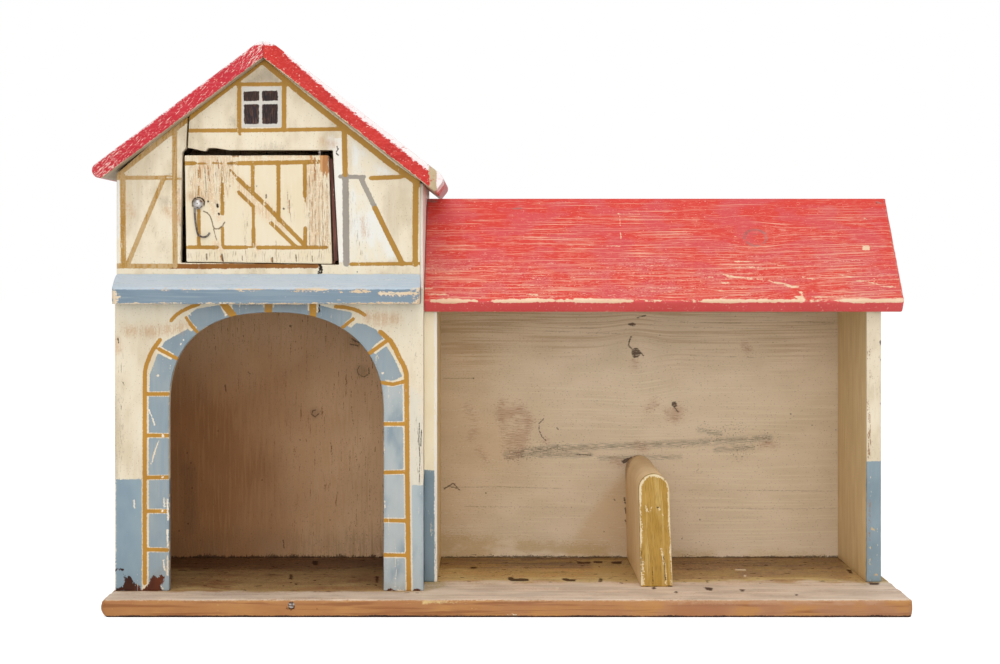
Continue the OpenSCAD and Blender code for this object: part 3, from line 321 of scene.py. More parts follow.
SHED_BACK = {
    "dark": (
        (0.6, (28.9, 117.5), (25.8, 114.0), (25.4, 109.1), (27.8, 103.8), (30.8, 101.1)),
        (0.9, (40.2, 109.6)), (1.8, (94.2, 189.4), (97.3, 189.7)),
        (0, (93.9, 189.7), (96.2, 190.7), (99.7, 189.7), (98.5, 187.9), (95.4, 188.2)),
        (1.0, (100.3, 194.5), (103.0, 195.3), (106.5, 196.2)),
        (1.0, (95.7, 180.1), (94.2, 176.8), (93.6, 173.3), (96.2, 170.7), (98.5, 170.4)),
        (0, (95.9, 169.9), (99.2, 171.9), (102.3, 169.9), (103.3, 166.9), (100.8, 164.6), (97.4, 163.5),
         (95.9, 166.9)), (0.9, (102.3, 168.4), (105.0, 165.7)), (0.8, (117.5, 181.3)),
        (0, (126.1, 129.6), (128.1, 130.9), (130.4, 129.6), (130.1, 126.6), (126.9, 126.6)),
        (0.8, (128.4, 126.6), (131.2, 122.8)), (0.8, (-46.7, 64.3), (-39.8, 68.5), (-35.0, 63.5)),
        (0.6, (-43.6, 66.6), (-36.8, 64.6)), (0.9, (-24.3, 148.4)), (0.9, (255.4, 71.9)),
        (0, (87.8, 85.6), (91.6, 87.4), (96.2, 88.8), (100.3, 86.3), (97.7, 85.6), (93.2, 85.1),
         (89.4, 83.3)), (0.6, (54.4, 90.4), (65.0, 90.1)), (1.2, (90.4, 57.4), (90.9, 53.6)),
        (1.1, (91.3, 49.8), (91.9, 45.3)), (1.2, (91.2, 40.7), (92.4, 37.7)),
        (0.8, (82.5, 56.7), (83.3, 55.9)), (0.8, (136.2, 19.4)), (0.7, (134.2, 26.3)),
        (0.7, (147.9, 40.7)), (0.8, (217.0, 121.3)), (0.7, (233.0, 112.9)), (0.7, (74.9, 31.6)),
        (0.7, (146.4, 82.5)), (0.7, (-14.8, 61.2)), (0.7, (-20.8, 46.8)), (0.8, (39.2, 110.6)),
        (0.7, (254.3, 162.3)), (0.7, (251.2, 109.1)),
    ),
    "hair": (
        (0.5, (-47.4, 65.5), (-4.1, 65.8), (50.6, 64.3)), (0.5, (-30.7, 51.0), (50.6, 50.1)),
        (0.5, (132.7, 63.7), (249.7, 62.5)), (0.5, (134.2, 50.6), (193.5, 49.1), (251.2, 49.5)),
        (0.6, (87.1, 96.6), (132.7, 100.2), (202.6, 103.0)), (0.5, (38.4, 94.1), (85.6, 96.5)),
        (0.5, (11.1, 92.4), (38.4, 95.7)), (0.5, (102.3, 94.7), (147.9, 96.5)),
        (0.5, (-47.4, 148.2), (-23.9, 148.3)), (0.4, (140.3, 165.4), (193.5, 164.1)),
        (0.4, (147.1, 79.8), (145.3, 77.5), (147.6, 75.7), (149.7, 77.7)),
        (0.4, (191.2, 83.3), (192.7, 80.2)), (0.5, (132.7, 191.2), (178.3, 190.4)),
        (0.5, (140.3, 187.4), (193.5, 185.9)), (0.5, (193.5, 192.7), (249.7, 190.4)),
        (0.5, (30.8, 184.4), (87.1, 182.1)), (0.5, (41.5, 188.2), (71.9, 185.9)),
    ),
    "smudge": (
        (6.8, (2.0, 90.1), (18.7, 92.4), (38.4, 95.0)), (4.6, (38.4, 95.0), (87.1, 97.0), (140.3, 99.2)),
        (4.6, (140.3, 99.2), (201.1, 103.0)), (3.8, (26.3, 90.1), (64.3, 90.4)),
        (3.8, (160.0, 93.9), (187.4, 96.2)), (3.0, (147.9, 109.1), (163.1, 106.1)),
        (3.0, (71.9, 87.8), (132.7, 88.6)),
    ),
    "shade": (
        (0, (99.2, 84.8), (76.4, 62.0), (56.7, 34.6), (46.0, 13.4), (104.6, 13.4), (102.3, 55.9)),
    ),
    "pepper": (
        (7.6, (5.0, 90.1), (18.7, 90.9)), (6.1, (26.3, 93.9), (41.5, 94.7)),
        (6.8, (175.2, 89.4), (185.9, 94.7)), (5.3, (169.2, 108.4), (178.3, 109.1)),
        (4.6, (149.4, 109.1), (160.0, 104.6)), (4.6, (198.0, 103.8), (204.1, 101.5)),
    ),
    "pink": (
        (0, (-4.1, 133.4), (11.1, 130.4), (21.7, 116.7), (15.6, 97.0), (11.1, 86.3), (-1.1, 87.8),
         (-2.6, 109.1), (-7.2, 121.3)),
        (0, (122.0, 122.8), (131.2, 128.1), (135.7, 125.8), (134.2, 118.2), (129.6, 113.7),
         (123.6, 116.7)), (3.8, (108.4, 125.8), (113.7, 129.6)), (3.0, (30.8, 101.5)),
        (4.6, (196.5, 98.5), (204.1, 97.0)), (3.8, (97.7, 162.3), (99.2, 157.8)),
        (5.3, (100.0, 97.0), (105.3, 95.4)), (3.0, (-26.9, 103.0), (-22.4, 109.1)),
        (4.6, (82.5, 85.6), (93.2, 84.0)), (3.8, (182.1, 173.7), (184.4, 169.9)),
        (4.6, (-28.4, 125.8), (-23.9, 116.7)), (3.8, (-19.3, 93.9), (-14.8, 86.3)),
    ),
}

SHED_EDGE = {
    "brown": (
        (1.8, (253.9, 139.9), (254.6, 118.8), (254.2, 99.1)), (1.1, (254.1, 178.5), (254.4, 153.9)),
        (1.4, (254.8, 69.6), (254.2, 41.5)),
    ),
    "chip": (
        (1.5, (256.3, 49.9), (257.4, 48.5)), (1.1, (254.2, 31.0), (254.5, 23.9)),
        (1.4, (258.9, 17.6), (260.0, 16.5)), (1.1, (255.1, 35.9)), (1.0, (254.4, 12.0)),
    ),
    "dark": (
        (1.3, (262.1, 181.3), (262.5, 179.2)), (1.1, (262.2, 137.4)), (1.0, (262.8, 168.0)),
    ),
}

PARTITION = {
    "dark": (
        (1.0, (105.2, 67.0)), (0.5, (93.5, 37.5), (93.1, 22.3)), (0.4, (108.2, 33.4), (108.9, 16.7)),
        (0.8, (94.6, 12.3), (98.8, 11.9)), (0.8, (109.9, 12.9), (113.3, 12.3)),
        (0.8, (102.3, 12.0), (105.0, 11.9)), (0.4, (100.2, 26.4), (100.5, 14.0)),
    ),
    "cream": (
        (0.6, (96.6, 68.0), (97.7, 64.5), (99.9, 64.2), (101.4, 67.5)),
        (0.7, (106.1, 39.6), (107.0, 36.8), (108.1, 30.6), (109.2, 20.9), (108.9, 14.0)),
        (0.8, (92.3, 52.7), (92.6, 47.2)), (1.0, (92.6, 36.1)), (0.8, (94.2, 30.6), (94.6, 14.0)),
        (0.6, (106.4, 65.2), (105.7, 66.6)), (0.7, (108.5, 62.0)),
    ),
}

STALL_BACK = {
    "dark": (
        (1.8, (-163.4, 188.2)), (1.1, (-116.6, 178.3), (-113.6, 176.3), (-108.2, 175.2)),
        (0.8, (-118.1, 174.5), (-112.0, 173.0)), (1.2, (-242.0, 91.6)), (1.2, (-239.0, 84.0)),
        (1.1, (-241.2, 79.5)), (1.1, (-238.2, 65.0)), (1.1, (-241.2, 37.7)), (1.1, (-248.1, 32.4)),
        (1.1, (-218.4, 108.4)),
        (0.8, (-142.0, 121.3), (-144.7, 119.0), (-147.3, 120.8), (-146.5, 123.7), (-144.0, 124.3)),
        (0.6, (-104.0, 156.2), (-103.7, 152.0), (-107.5, 149.4), (-111.6, 151.2), (-112.8, 154.7),
         (-110.5, 158.1)), (0.8, (-195.6, 153.2), (-194.1, 151.7)), (0.9, (-185.0, 71.1)),
        (0.8, (-133.3, 40.7)), (0.9, (-156.1, 101.5)), (0.8, (-213.1, 143.3), (-212.4, 138.0)),
        (0.8, (-169.0, 25.5), (-168.3, 19.4)),
    ),
    "scuff": (
        (7.6, (-109.0, 154.0)), (6.8, (-144.7, 122.0)), (9.1, (-114.3, 176.8)),
        (10.6, (-241.2, 78.7), (-239.7, 33.1)),
    ),
}

SHED_ROOF = {
    "chip": (
        (0, (253.8, 51.4), (259.2, 51.0), (259.0, 55.6), (253.9, 56.0)),
        (1.6, (257.9, 22.6), (259.8, 23.1)), (1.7, (258.1, 84.6)), (1.4, (260.3, 90.2)),
        (1.3, (-49.6, 57.6)), (1.1, (-2.9, 106.1), (-0.8, 109.0)), (2.8, (273.8, 110.0), (273.5, 117.9)),
        (1.7, (273.5, 8.1)), (1.1, (68.1, 91.2)), (1.0, (244.1, 35.8)),
        (1.3, (146.7, 80.1), (152.3, 80.3), (157.8, 82.1)),
        (1.8, (155.0, 82.1), (164.0, 83.7), (172.4, 84.7)), (1.2, (175.2, 84.7), (184.9, 86.8)),
        (1.8, (187.5, 88.6), (194.4, 89.8), (198.4, 92.2)), (1.6, (196.9, 92.8), (204.6, 93.2)),
        (1.6, (139.4, 83.9), (145.0, 83.5)), (1.3, (246.0, 86.8), (252.2, 87.8), (261.0, 90.6)),
        (1.2, (262.2, 92.2), (273.2, 93.6)), (1.1, (157.9, 72.6), (170.6, 72.8), (184.5, 75.0)),
        (0.9, (161.1, 67.3), (180.2, 67.7)), (0.9, (186.4, 69.9), (200.3, 72.4)),
        (1.1, (207.1, 82.7), (218.0, 86.1)), (1.0, (232.0, 80.1), (242.9, 83.1)),
        (1.3, (202.8, 97.6), (206.2, 98.1), (205.1, 102.1)), (3.1, (202.2, 103.1), (206.3, 104.1)),
        (0.6, (82.4, 17.7), (82.1, 30.5)), (0.6, (82.0, 36.8), (81.8, 45.2)),
        (0.6, (81.3, 53.5), (80.4, 72.0)), (1.8, (-55.9, 100.1), (-42.6, 100.5)),
        (2.4, (-55.7, 112.0), (-34.1, 113.0)), (1.6, (13.2, 100.1), (21.6, 100.7)), (1.3, (0.8, 82.1)),
        (1.0, (-30.3, 69.5)), (1.8, (150.9, 89.6), (155.2, 89.2)), (1.1, (100.0, 97.2), (112.5, 98.5)),
        (0.9, (136.5, 95.2), (154.5, 97.6)), (1.1, (75.2, 16.7), (96.9, 17.3)),
        (0.9, (166.1, 41.0), (160.2, 43.1)), (0.6, (63.8, 51.0), (81.0, 51.4)),
        (0.9, (212.7, 103.1), (233.7, 102.1)), (1.7, (-57.4, 94.6), (-51.8, 94.2)),
    ),
    "hole": (
        (2.0, (269.4, 5.7)), (1.4, (257.2, 23.1)), (1.1, (111.4, 16.7)), (0.9, (186.7, 50.4)),
        (1.1, (-58.8, 3.7), (-57.7, 9.1)),
    ),
    "knot": (
        (2.3, (170.4, 44.1), (171.8, 37.9), (175.9, 34.5), (180.3, 34.3)),
        (2.1, (182.8, 35.3), (185.9, 38.9), (186.4, 44.6), (183.3, 48.9)),
        (2.1, (180.3, 50.8), (175.3, 50.8), (171.7, 47.7)),
        (0.9, (174.3, 45.2), (176.6, 40.0), (180.3, 39.3)), (1.6, (258.7, 22.4), (261.5, 22.8)),
        (2.4, (-58.5, 3.1), (-51.2, 4.8)), (1.7, (4.2, 12.4), (11.4, 11.7)),
        (1.4, (110.0, 16.7), (113.6, 17.1)), (2.1, (269.5, 4.8), (273.7, 6.3)),
    ),
    "worn": (
        (3.5, (-57.9, 107.1), (-42.5, 106.7), (9.0, 106.3), (78.6, 106.1), (134.4, 106.1)),
        (3.3, (134.4, 106.1), (204.1, 105.7), (275.8, 106.1)), (5.0, (-57.9, 107.1), (-42.6, 106.1)),
        (5.7, (232.0, 105.1), (275.6, 107.1)), (4.3, (276.6, 7.0), (275.9, 67.9), (275.2, 110.0)),
        (3.5, (-60.0, 1.6), (-26.4, 1.1)),
    ),
}

FLOOR = {
    "dark": (
        (0, (0.7, -7.9), (3.6, -3.8), (5.6, -14.0), (10.2, -11.0), (15.5, -14.0), (15.5, -25.0),
         (9.2, -27.0), (3.6, -26.0), (1.3, -20.0)),
        (0, (39.3, -11.0), (42.9, -11.0), (44.8, -17.0), (48.6, -16.0), (48.2, -27.0), (43.0, -27.0),
         (39.4, -21.0)), (0, (66.0, -6.9), (67.8, -11.0), (67.0, -28.0), (64.0, -31.9), (65.5, -20.0)),
        (0, (53.3, 80.0), (58.6, 74.4), (64.1, 78.9), (62.8, 66.5), (53.8, 65.4)),
        (0, (65.7, 82.3), (73.2, 80.0), (71.8, 68.8), (65.9, 69.9)),
        (0, (79.0, 77.8), (87.4, 80.0), (85.7, 64.3), (79.2, 66.5)),
        (0, (-156.2, 8.5), (-154.1, 9.6), (-151.5, -18.0), (-153.5, -17.0)),
        (0, (-93.9, 0.3), (-91.5, -1.8), (-90.2, -34.9), (-92.2, -31.9)),
        (0, (-145.7, 83.4), (-141.1, 81.1), (-139.5, 56.6), (-143.1, 58.8)),
        (0, (113.5, -79.8), (115.5, -72.3), (116.2, -79.8), (114.2, -87.2)),
        (0, (136.1, -54.3), (141.8, -59.1), (139.7, -73.2), (136.1, -68.6)),
        (0, (159.9, -63.8), (163.0, -66.7), (161.1, -77.9), (159.2, -76.0)),
        (0, (253.9, -31.0), (261.3, -32.9), (258.1, -44.7), (252.7, -43.7)),
        (0, (194.5, -87.2), (196.3, -89.0), (195.1, -96.3), (193.8, -94.5)),
        (0, (100.0, -56.2), (102.3, -52.4), (102.2, -63.8), (99.9, -66.7)),
        (0, (-26.5, 47.8), (-22.1, 50.0), (-21.3, 40.3), (-25.7, 38.1)),
        (0, (248.9, 37.0), (251.7, 31.7), (249.7, 10.6), (247.7, 15.8)),
    ),
    "chip": (
        (0, (167.7, 38.1), (175.5, 35.9), (174.5, 27.4), (166.8, 29.5)),
        (0, (170.4, 6.4), (172.4, 5.4), (170.8, -4.9), (169.5, -3.8)),
        (0, (33.7, -54.3), (35.8, -54.3), (35.2, -65.7), (33.7, -63.8)),
    ),
    "crumbs": (
        (0, (-58.5, 31.7), (-47.6, 0.3), (-42.4, -49.5), (-56.9, -77.9)),
        (0, (63.7, 86.8), (96.9, 86.8), (92.8, -39.8), (63.1, -20.0)),
        (0, (252.0, 75.5), (257.6, 10.6), (249.8, -44.7), (242.6, -20.0)),
        (0, (69.6, 53.3), (87.2, 75.5), (91.9, 10.6), (86.5, -30.0), (70.1, -20.0)),
        (3.5, (-42.1, 10.6), (-19.0, -9.9)), (2.8, (177.8, -30.0), (204.5, -39.8)),
        (3.5, (-229.9, -68.6), (-211.9, -59.1)), (2.8, (-142.2, -68.6), (-87.1, -73.2)),
        (2.8, (92.8, -39.8), (107.5, -30.0)),
    ),
}

BASE_EDGE = {
    "chip": (
        (1.5, (-149.2, 10.7), (-149.0, 7.9)), (1.6, (-2.0, 1.7), (13.3, 1.7)),
        (1.1, (-261.8, 11.0), (-260.9, 9.9)), (0.9, (-145.2, 5.3)),
    ),
    "dark": (
        (0, (-147.5, 11.3), (-146.2, 12.5), (-143.4, 12.5), (-141.8, 11.0), (-141.8, 6.6),
         (-143.2, 4.7), (-146.0, 4.6), (-147.6, 6.3)), (0.7, (-127.2, 5.7), (-126.2, 2.6)),
        (0.7, (103.9, 9.0), (107.9, 8.3)), (0.6, (-16.0, 10.3), (-15.6, 8.3)),
        (0.5, (-82.6, 9.7), (-82.3, 7.0)), (0.7, (-137.5, 13.3), (-136.6, 11.7)),
    ),
}


def linear(code):
    """An sRGB hex colour as linear red, green, blue and full cover."""
    parts = [int(code[i:i + 2], 16) / 255 for i in (1, 3, 5)]
    return tuple(p / 12.92 if p <= 0.04045 else ((p + 0.055) / 1.055) ** 2.4 for p in parts) + (1.0,)


def ripple(points, size, seed=0):
    """Smooth noise from -1 to 1 at each point, with features of this many millimetres."""
    shift = Vector((17.3 * seed, 7.1 * seed, 3.7 * seed))
    return np.array([noise.noise(Vector(p) / size + shift) for p in points])


def circle(middle, radius, count):
    """Points round a middle, or just the middle where the radius is 0."""
    angles = np.linspace(0, 2 * math.pi, count if radius else 1, endpoint=False)
    return [(middle[0] + radius * math.cos(a), middle[1] + radius * math.sin(a)) for a in angles]


def reach(points, path, closed=False):
    """Distance from each point to the nearest stretch of a path."""
    starts = np.array(path, float)
    ends = np.roll(starts, -1, 0)
    if not closed:
        starts, ends = starts[:-1], ends[:-1]
    best = np.full(len(points), np.inf)
    for start, end in zip(starts, ends):
        run = end - start
        share = np.clip((points - start) @ run / max(run @ run, TINY), 0, 1)
        best = np.minimum(best, np.linalg.norm(points - start - share[:, None] * run, axis=1))
    return best


def inside(points, loop):
    """True where a point lies within a closed loop."""
    loop = np.array(loop, float)
    hit = np.zeros(len(points), bool)
    for start, end in zip(loop, np.roll(loop, -1, 0)):
        spans = (start[1] > points[:, 1]) != (end[1] > points[:, 1])
        rise = end[1] - start[1]
        cross = start[0] + (points[:, 1] - start[1]) * (end[0] - start[0]) / (rise if rise else TINY)
        hit ^= spans & (points[:, 0] < cross)
    return hit


def mark_depth(points, marks):
    """How deep each point lies inside the nearest of these marks, below zero outside."""
    best = np.full(len(points), FAR)
    for width, *path in marks:
        path = np.array(path, float)
        room = width / 2 - FAR
        near = np.all((points > path.min(0) - room) & (points < path.max(0) + room), axis=1)
        some = points[near]
        if width == 0:
            depth = reach(some, path, closed=True) * np.where(inside(some, path), 1, -1)
        elif len(path) == 1:
            depth = width / 2 - np.linalg.norm(some - path[0], axis=1)
        else:
            depth = width / 2 - reach(some, path)
        best[near] = np.maximum(best[near], depth)
    return best


def cad_mesh(node):
    """A CAD node's mesh with its doubled corners merged, for its shape to be read from."""
    bm = bmesh.new()
    bm.from_mesh(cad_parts[node].data)
    bmesh.ops.remove_doubles(bm, verts=bm.verts, dist=1e-6)
    return bm


def outline(node, axis, high=False):
    """The outer loop, in mm, of the flat face at one end of a CAD board, and the board's span."""
    bm = cad_mesh(node)
    heights = [v.co[axis] for v in bm.verts]
    level = max(heights) if high else min(heights)
    flat = dict.fromkeys(f for f in bm.faces if all(abs(v.co[axis] - level) < 1e-5 for v in f.verts))
    beside = {}
    for face in flat:
        for edge in face.edges:
            if sum(other in flat for other in edge.link_faces) == 1:
                a, b = edge.verts
                beside.setdefault(a, []).append(b)
                beside.setdefault(b, []).append(a)
    across = [i for i in range(3) if i != axis]
    loops, seen = [], set()
    for vert in beside:
        loop = []
        while vert is not None and vert not in seen:
            seen.add(vert)
            loop.append([vert.co[i] / MM for i in across])
            vert = next((v for v in beside[vert] if v not in seen), None)
        if loop:
            loops.append(np.array(loop))
    bm.free()
    return max(loops, key=lambda points: np.ptp(points, axis=0).sum()), (min(heights) / MM, max(heights) / MM)


def softened(loop, radius, spacing):
    """A loop turned anticlockwise, its corners rounded a little and points set along its sides."""
    loop = np.array(loop, float)
    after = np.roll(loop, -1, 0)
    if np.sum(loop[:, 0] * after[:, 1] - after[:, 0] * loop[:, 1]) < 0:
        loop = loop[::-1]
    rounded = []
    for before, here, after in zip(np.roll(loop, 1, 0), loop, np.roll(loop, -1, 0)):
        back, on = before - here, after - here
        back_len, on_len = np.linalg.norm(back), np.linalg.norm(on)
        if -(back @ on) / (back_len * on_len) > math.cos(STRAIGHT):
            rounded.append(here)
            continue
        cut = min(radius, 0.35 * back_len, 0.35 * on_len)
        start, end = here + back / back_len * cut, here + on / on_len * cut
        rounded += [(1 - t) ** 2 * start + 2 * t * (1 - t) * here + t * t * end for t in (0, 0.33, 0.67, 1)]
    points = []
    for here, after in zip(rounded, rounded[1:] + rounded[:1]):
        count = max(1, math.ceil(np.linalg.norm(after - here) / spacing))
        points += [here + (after - here) * k / count for k in range(count)]
    return np.array(points)


class Board:
    """A board cut to an outline with worn arrises, in millimetres, before it becomes a mesh."""

    def __init__(self, loop, span, axis, rims=(0.8, 0.8), cells=(3.0, 8.0), step=None, corner=0.6,
                 spacing=2.0, fine=(), pits=(), seed=1):
        loop = softened(loop, max(corner, 1.3 * max(rims)), spacing)
        count = len(loop)
        run = np.roll(loop, -1, 0) - np.roll(loop, 1, 0)
        run /= np.linalg.norm(run, axis=1)[:, None]
        inward = np.stack([-run[:, 1], run[:, 0]], axis=1)
        self.thick = span[1] - span[0]
        # The wear of each end's arris, which the rings round the board then follow.
        ends = []
        for rim, place in zip(rims, (0.0, 50.0)):
            at = np.column_stack([loop, np.full(count, place)])
            wear = 0.8 + 0.55 * ripple(at, 11, seed) + 0.4 * ripple(at, 3.1, seed + 1)
            ends.append(rim * np.clip(wear, 0.25, 1.6))
        arc = ((1, 0), (0.3, 0.3), (0, 1))
        rings = [(loop + inward * (ends[0] * k)[:, None], ends[0] * d) for k, d in arc]
        if step:
            low, high = ends[0].max(), self.thick - ends[1].max()
            levels = np.linspace(low, high, max(2, int((high - low) / step) + 1))[1:-1]
            rings += [(loop, np.full(count, level)) for level in levels]
        rings += [(loop + inward * (ends[1] * k)[:, None], self.thick - ends[1] * d) for k, d in arc[::-1]]
        flat = np.concatenate([ring for ring, _ in rings])
        depth = np.concatenate([level for _, level in rings])
        faces = []
        for low in range(0, (len(rings) - 1) * count, count):
            high = low + count
            faces += [(low + i, low + j, high + j, high + i) for i, j in enumerate([*range(1, count), 0])]
        # Both flat ends are filled with triangles, and the pits' floors are sunk below them.
        for end, cell in enumerate(cells):
            first = (len(rings) - 1) * count if end else 0
            sunken = [pit for pit in pits if pit[0] == end]
            points, triangles = self.fill(rings[-end][0], cell, () if end else fine, sunken)
            start = len(flat)
            flat = np.concatenate([flat, points])
            sunk = np.zeros(len(points))
            for _, across, up, radius, drop in sunken:
                off = np.hypot(points[:, 0] - across, points[:, 1] - up)
                sunk = np.maximum(sunk, np.where(off < radius, drop, 0))
            depth = np.concatenate([depth, self.thick - sunk if end else sunk])
            faces += [tuple(first + i if i < count else start + i - count for i in face)
                      for face in triangles]
        self.flat, self.depth, self.faces = flat, depth, faces
        self.at = np.insert(flat, axis, span[0] + depth, axis=1)
        self.front = depth < 1.05 * max(rims[0], 0.3)
        self.marks = {}

    @staticmethod
    def fill(rim, cell, fine, pits):
        """Points and triangles that fill the loop at one end of the board, closer at thin marks and pits."""
        low, high = rim.min(0), rim.max(0)
        rows = enumerate(np.arange(low[1] + cell / 3, high[1], cell * 0.87))
        grid = [(x, row) for k, row in rows for x in np.arange(low[0] + k % 2 * cell / 2, high[0], cell)]
        points = np.array(grid).reshape(-1, 2)
        points = points[inside(points, rim)]
        points = points[reach(points, rim, closed=True) > 0.4 * cell]
        extra = []
        for width, *path in fine:
            if not 0 < width < 2.6:
                continue
            if len(path) == 1:
                extra += circle(path[0], 0, 1) + circle(path[0], width / 2 + 0.3, 8)
            for start, stop in zip(np.array(path), np.array(path)[1:]):
                run = stop - start
                length = max(np.linalg.norm(run), TINY)
                side = np.array([-run[1], run[0]]) / length * (width / 2 + 0.25)
                extra += [start + run * share + side * k
                          for share in np.linspace(0, 1, max(2, int(length / 0.7))) for k in (-1, 0, 1)]
        for _, across, up, radius, _ in pits:
            for share in (0.0, 0.5, 0.98, 1.12):
                extra += circle((across, up), share * radius, 16)
        if extra:
            extra = np.array(extra)
            extra = extra[inside(extra, rim)]
            points = np.concatenate([points, extra[reach(extra, rim, closed=True) > 0.15]])
        # The rim's sides may not be crossed, and points that arise where they meet are numbered last.
        every = [Vector(p) for p in np.concatenate([rim, points])]
        verts, _, faces, sources, _, _ = delaunay_2d_cdt(every, [], [list(range(len(rim)))], 1, 1e-6)
        crossings = [i for i, source in enumerate(sources) if not source]
        number = {i: len(every) + k for k, i in enumerate(crossings)}
        if crossings:
            points = np.concatenate([points, [tuple(verts[i]) for i in crossings]])
        return points, [tuple(sources[i][0] if sources[i] else number[i] for i in face) for face in faces]

    def mark(self, layers, where=None, at=None):
        """Adds marks to the board's painted layers, on its front unless another place is given."""
        where = self.front if where is None else where
        points = (self.flat if at is None else at)[where]
        for label, marks in layers.items():
            depth = np.full(len(self.at), FAR)
            depth[where] = mark_depth(points, marks)
            self.marks[label] = np.maximum(self.marks.get(label, depth), depth)

    def cover(self, label, depth, where=True):
        """Adds to a painted layer by a depth that is worked out for each point."""
        values = np.where(where, np.clip(depth, FAR, -FAR), FAR)
        self.marks[label] = np.maximum(self.marks.get(label, values), values)

    def lay_grain(self, order, seed=0, sway=1.2, knots=()):
        """Runs the grain along one of the board's directions, swaying a little and round its knots."""
        along, across, deep = (self.at[:, i] for i in order)
        across = across + sway * ripple(np.column_stack([along / 6, across / 2, deep / 2]), 16, seed)
        for start, level, radius in knots:
            off, rise = along - start, across - level
            push = radius * np.exp(-(off / (2.4 * radius)) ** 2 - np.abs(rise) / (3 * radius))
            across = across - np.sign(rise) * push
        self.grain = np.column_stack([along, across + 37.0 * seed, deep])


def make_piece(node, boards, material, body="stable"):
    """Turns boards into one mesh object that stands for a CAD node and rides on a body."""
    mesh = bpy.data.meshes.new(node)
    starts = np.cumsum([0] + [len(board.at) for board in boards])
    faces = [tuple(i + start for i in face) for board, start in zip(boards, starts.tolist())
             for face in board.faces]
    mesh.from_pydata((np.concatenate([board.at for board in boards]) * MM).tolist(), [], faces)
    for label in sorted(LAYERS_OF[material.name].union(*(board.marks for board in boards))):
        values = [board.marks.get(label, np.full(len(board.at), FAR)) for board in boards]
        layer = mesh.attributes.new(label, "FLOAT", "POINT")
        layer.data.foreach_set("value", np.concatenate(values).astype(np.float32))
    grain = mesh.attributes.new("grain", "FLOAT_VECTOR", "POINT")
    grain.data.foreach_set("vector", np.concatenate([b.grain for b in boards]).astype(np.float32).ravel())
    settle(node, mesh, material, body)


def settle(node, mesh, material, body="stable", smooth=38):
    """Turns a mesh's faces outwards, gives it its finish and ties it to the frame in a CAD node's place."""
    bm = bmesh.new()
    bm.from_mesh(mesh)
    bmesh.ops.recalc_face_normals(bm, faces=bm.faces)
    bm.to_mesh(mesh)
    bm.free()
    mesh.shade_smooth()
    mesh.set_sharp_from_angle(angle=math.radians(smooth))
    mesh.materials.clear()
    mesh.materials.append(material)
    piece = bpy.data.objects.new(node.title().replace("_", ""), mesh)
    bpy.context.scene.collection.objects.link(piece)
    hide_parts(node)
    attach(piece, body)


def add(tree, kind, inputs=None, **settings):
    """Adds a node with these settings, sets or links its inputs, and returns its outputs."""
    node = tree.nodes.new(kind)
    for key, value in settings.items():
        setattr(node, key, value)
    for key, given in (inputs or {}).items():
        for value in given if isinstance(given, list) else [given]:
            if isinstance(value, bpy.types.NodeSocket):
                tree.links.new(value, node.inputs[key])
            else:
                node.inputs[key].default_value = value
    return node.outputs


def cleared(owner):
    """The empty node tree of a material or a world."""
    owner.use_nodes = True
    owner.node_tree.nodes.clear()
    return owner.node_tree


def streaks(tree, place, along, across, detail=3.0, shift=0.0):
    """Noise drawn out along the grain, with features of these sizes in mm."""
    scale, push = (1 / along, 1 / across, 1 / across), (shift,) * 3
    scaled = add(tree, "ShaderNodeVectorMath", {0: place, 1: scale, 2: push}, operation="MULTIPLY_ADD")
    return add(tree, "ShaderNodeTexNoise", {"Vector": scaled[0], "Scale": 1.0, "Detail": detail})[0]


def threshold(worn, source="fray"):
    """The noise value under which this share of a coat is worn away."""
    return NormalDist(0.5, SPREAD[source]).inv_cdf(worn)


class Coat(NamedTuple):
    """One coat of paint, wear or dirt over whatever lies under it."""

    mask: str | None = None  # the painted layer that it keeps to
    colours: tuple = ()  # its two patchy shades, and perhaps one for its grain lines
    by: str = "fray"  # the noise that wears it
    worn: float = 0.03  # the share that is worn away
    blend: float = 0.012  # how softly it wears, on that noise's scale
    ragged: float = 0.5  # how far the mask's edge strays, in mm
    soft: float = 0.18  # how softly the mask's edge ends, in mm
    worn_by: str | None = None  # the painted layer that wears it further
    rub: float = 0.12  # how much further, on the noise's scale
    cover: float = 1.0  # how much it hides
    lift: float = 0.04  # its height in mm, below zero for a dent
    rough: float = 0.45  # how matt it is


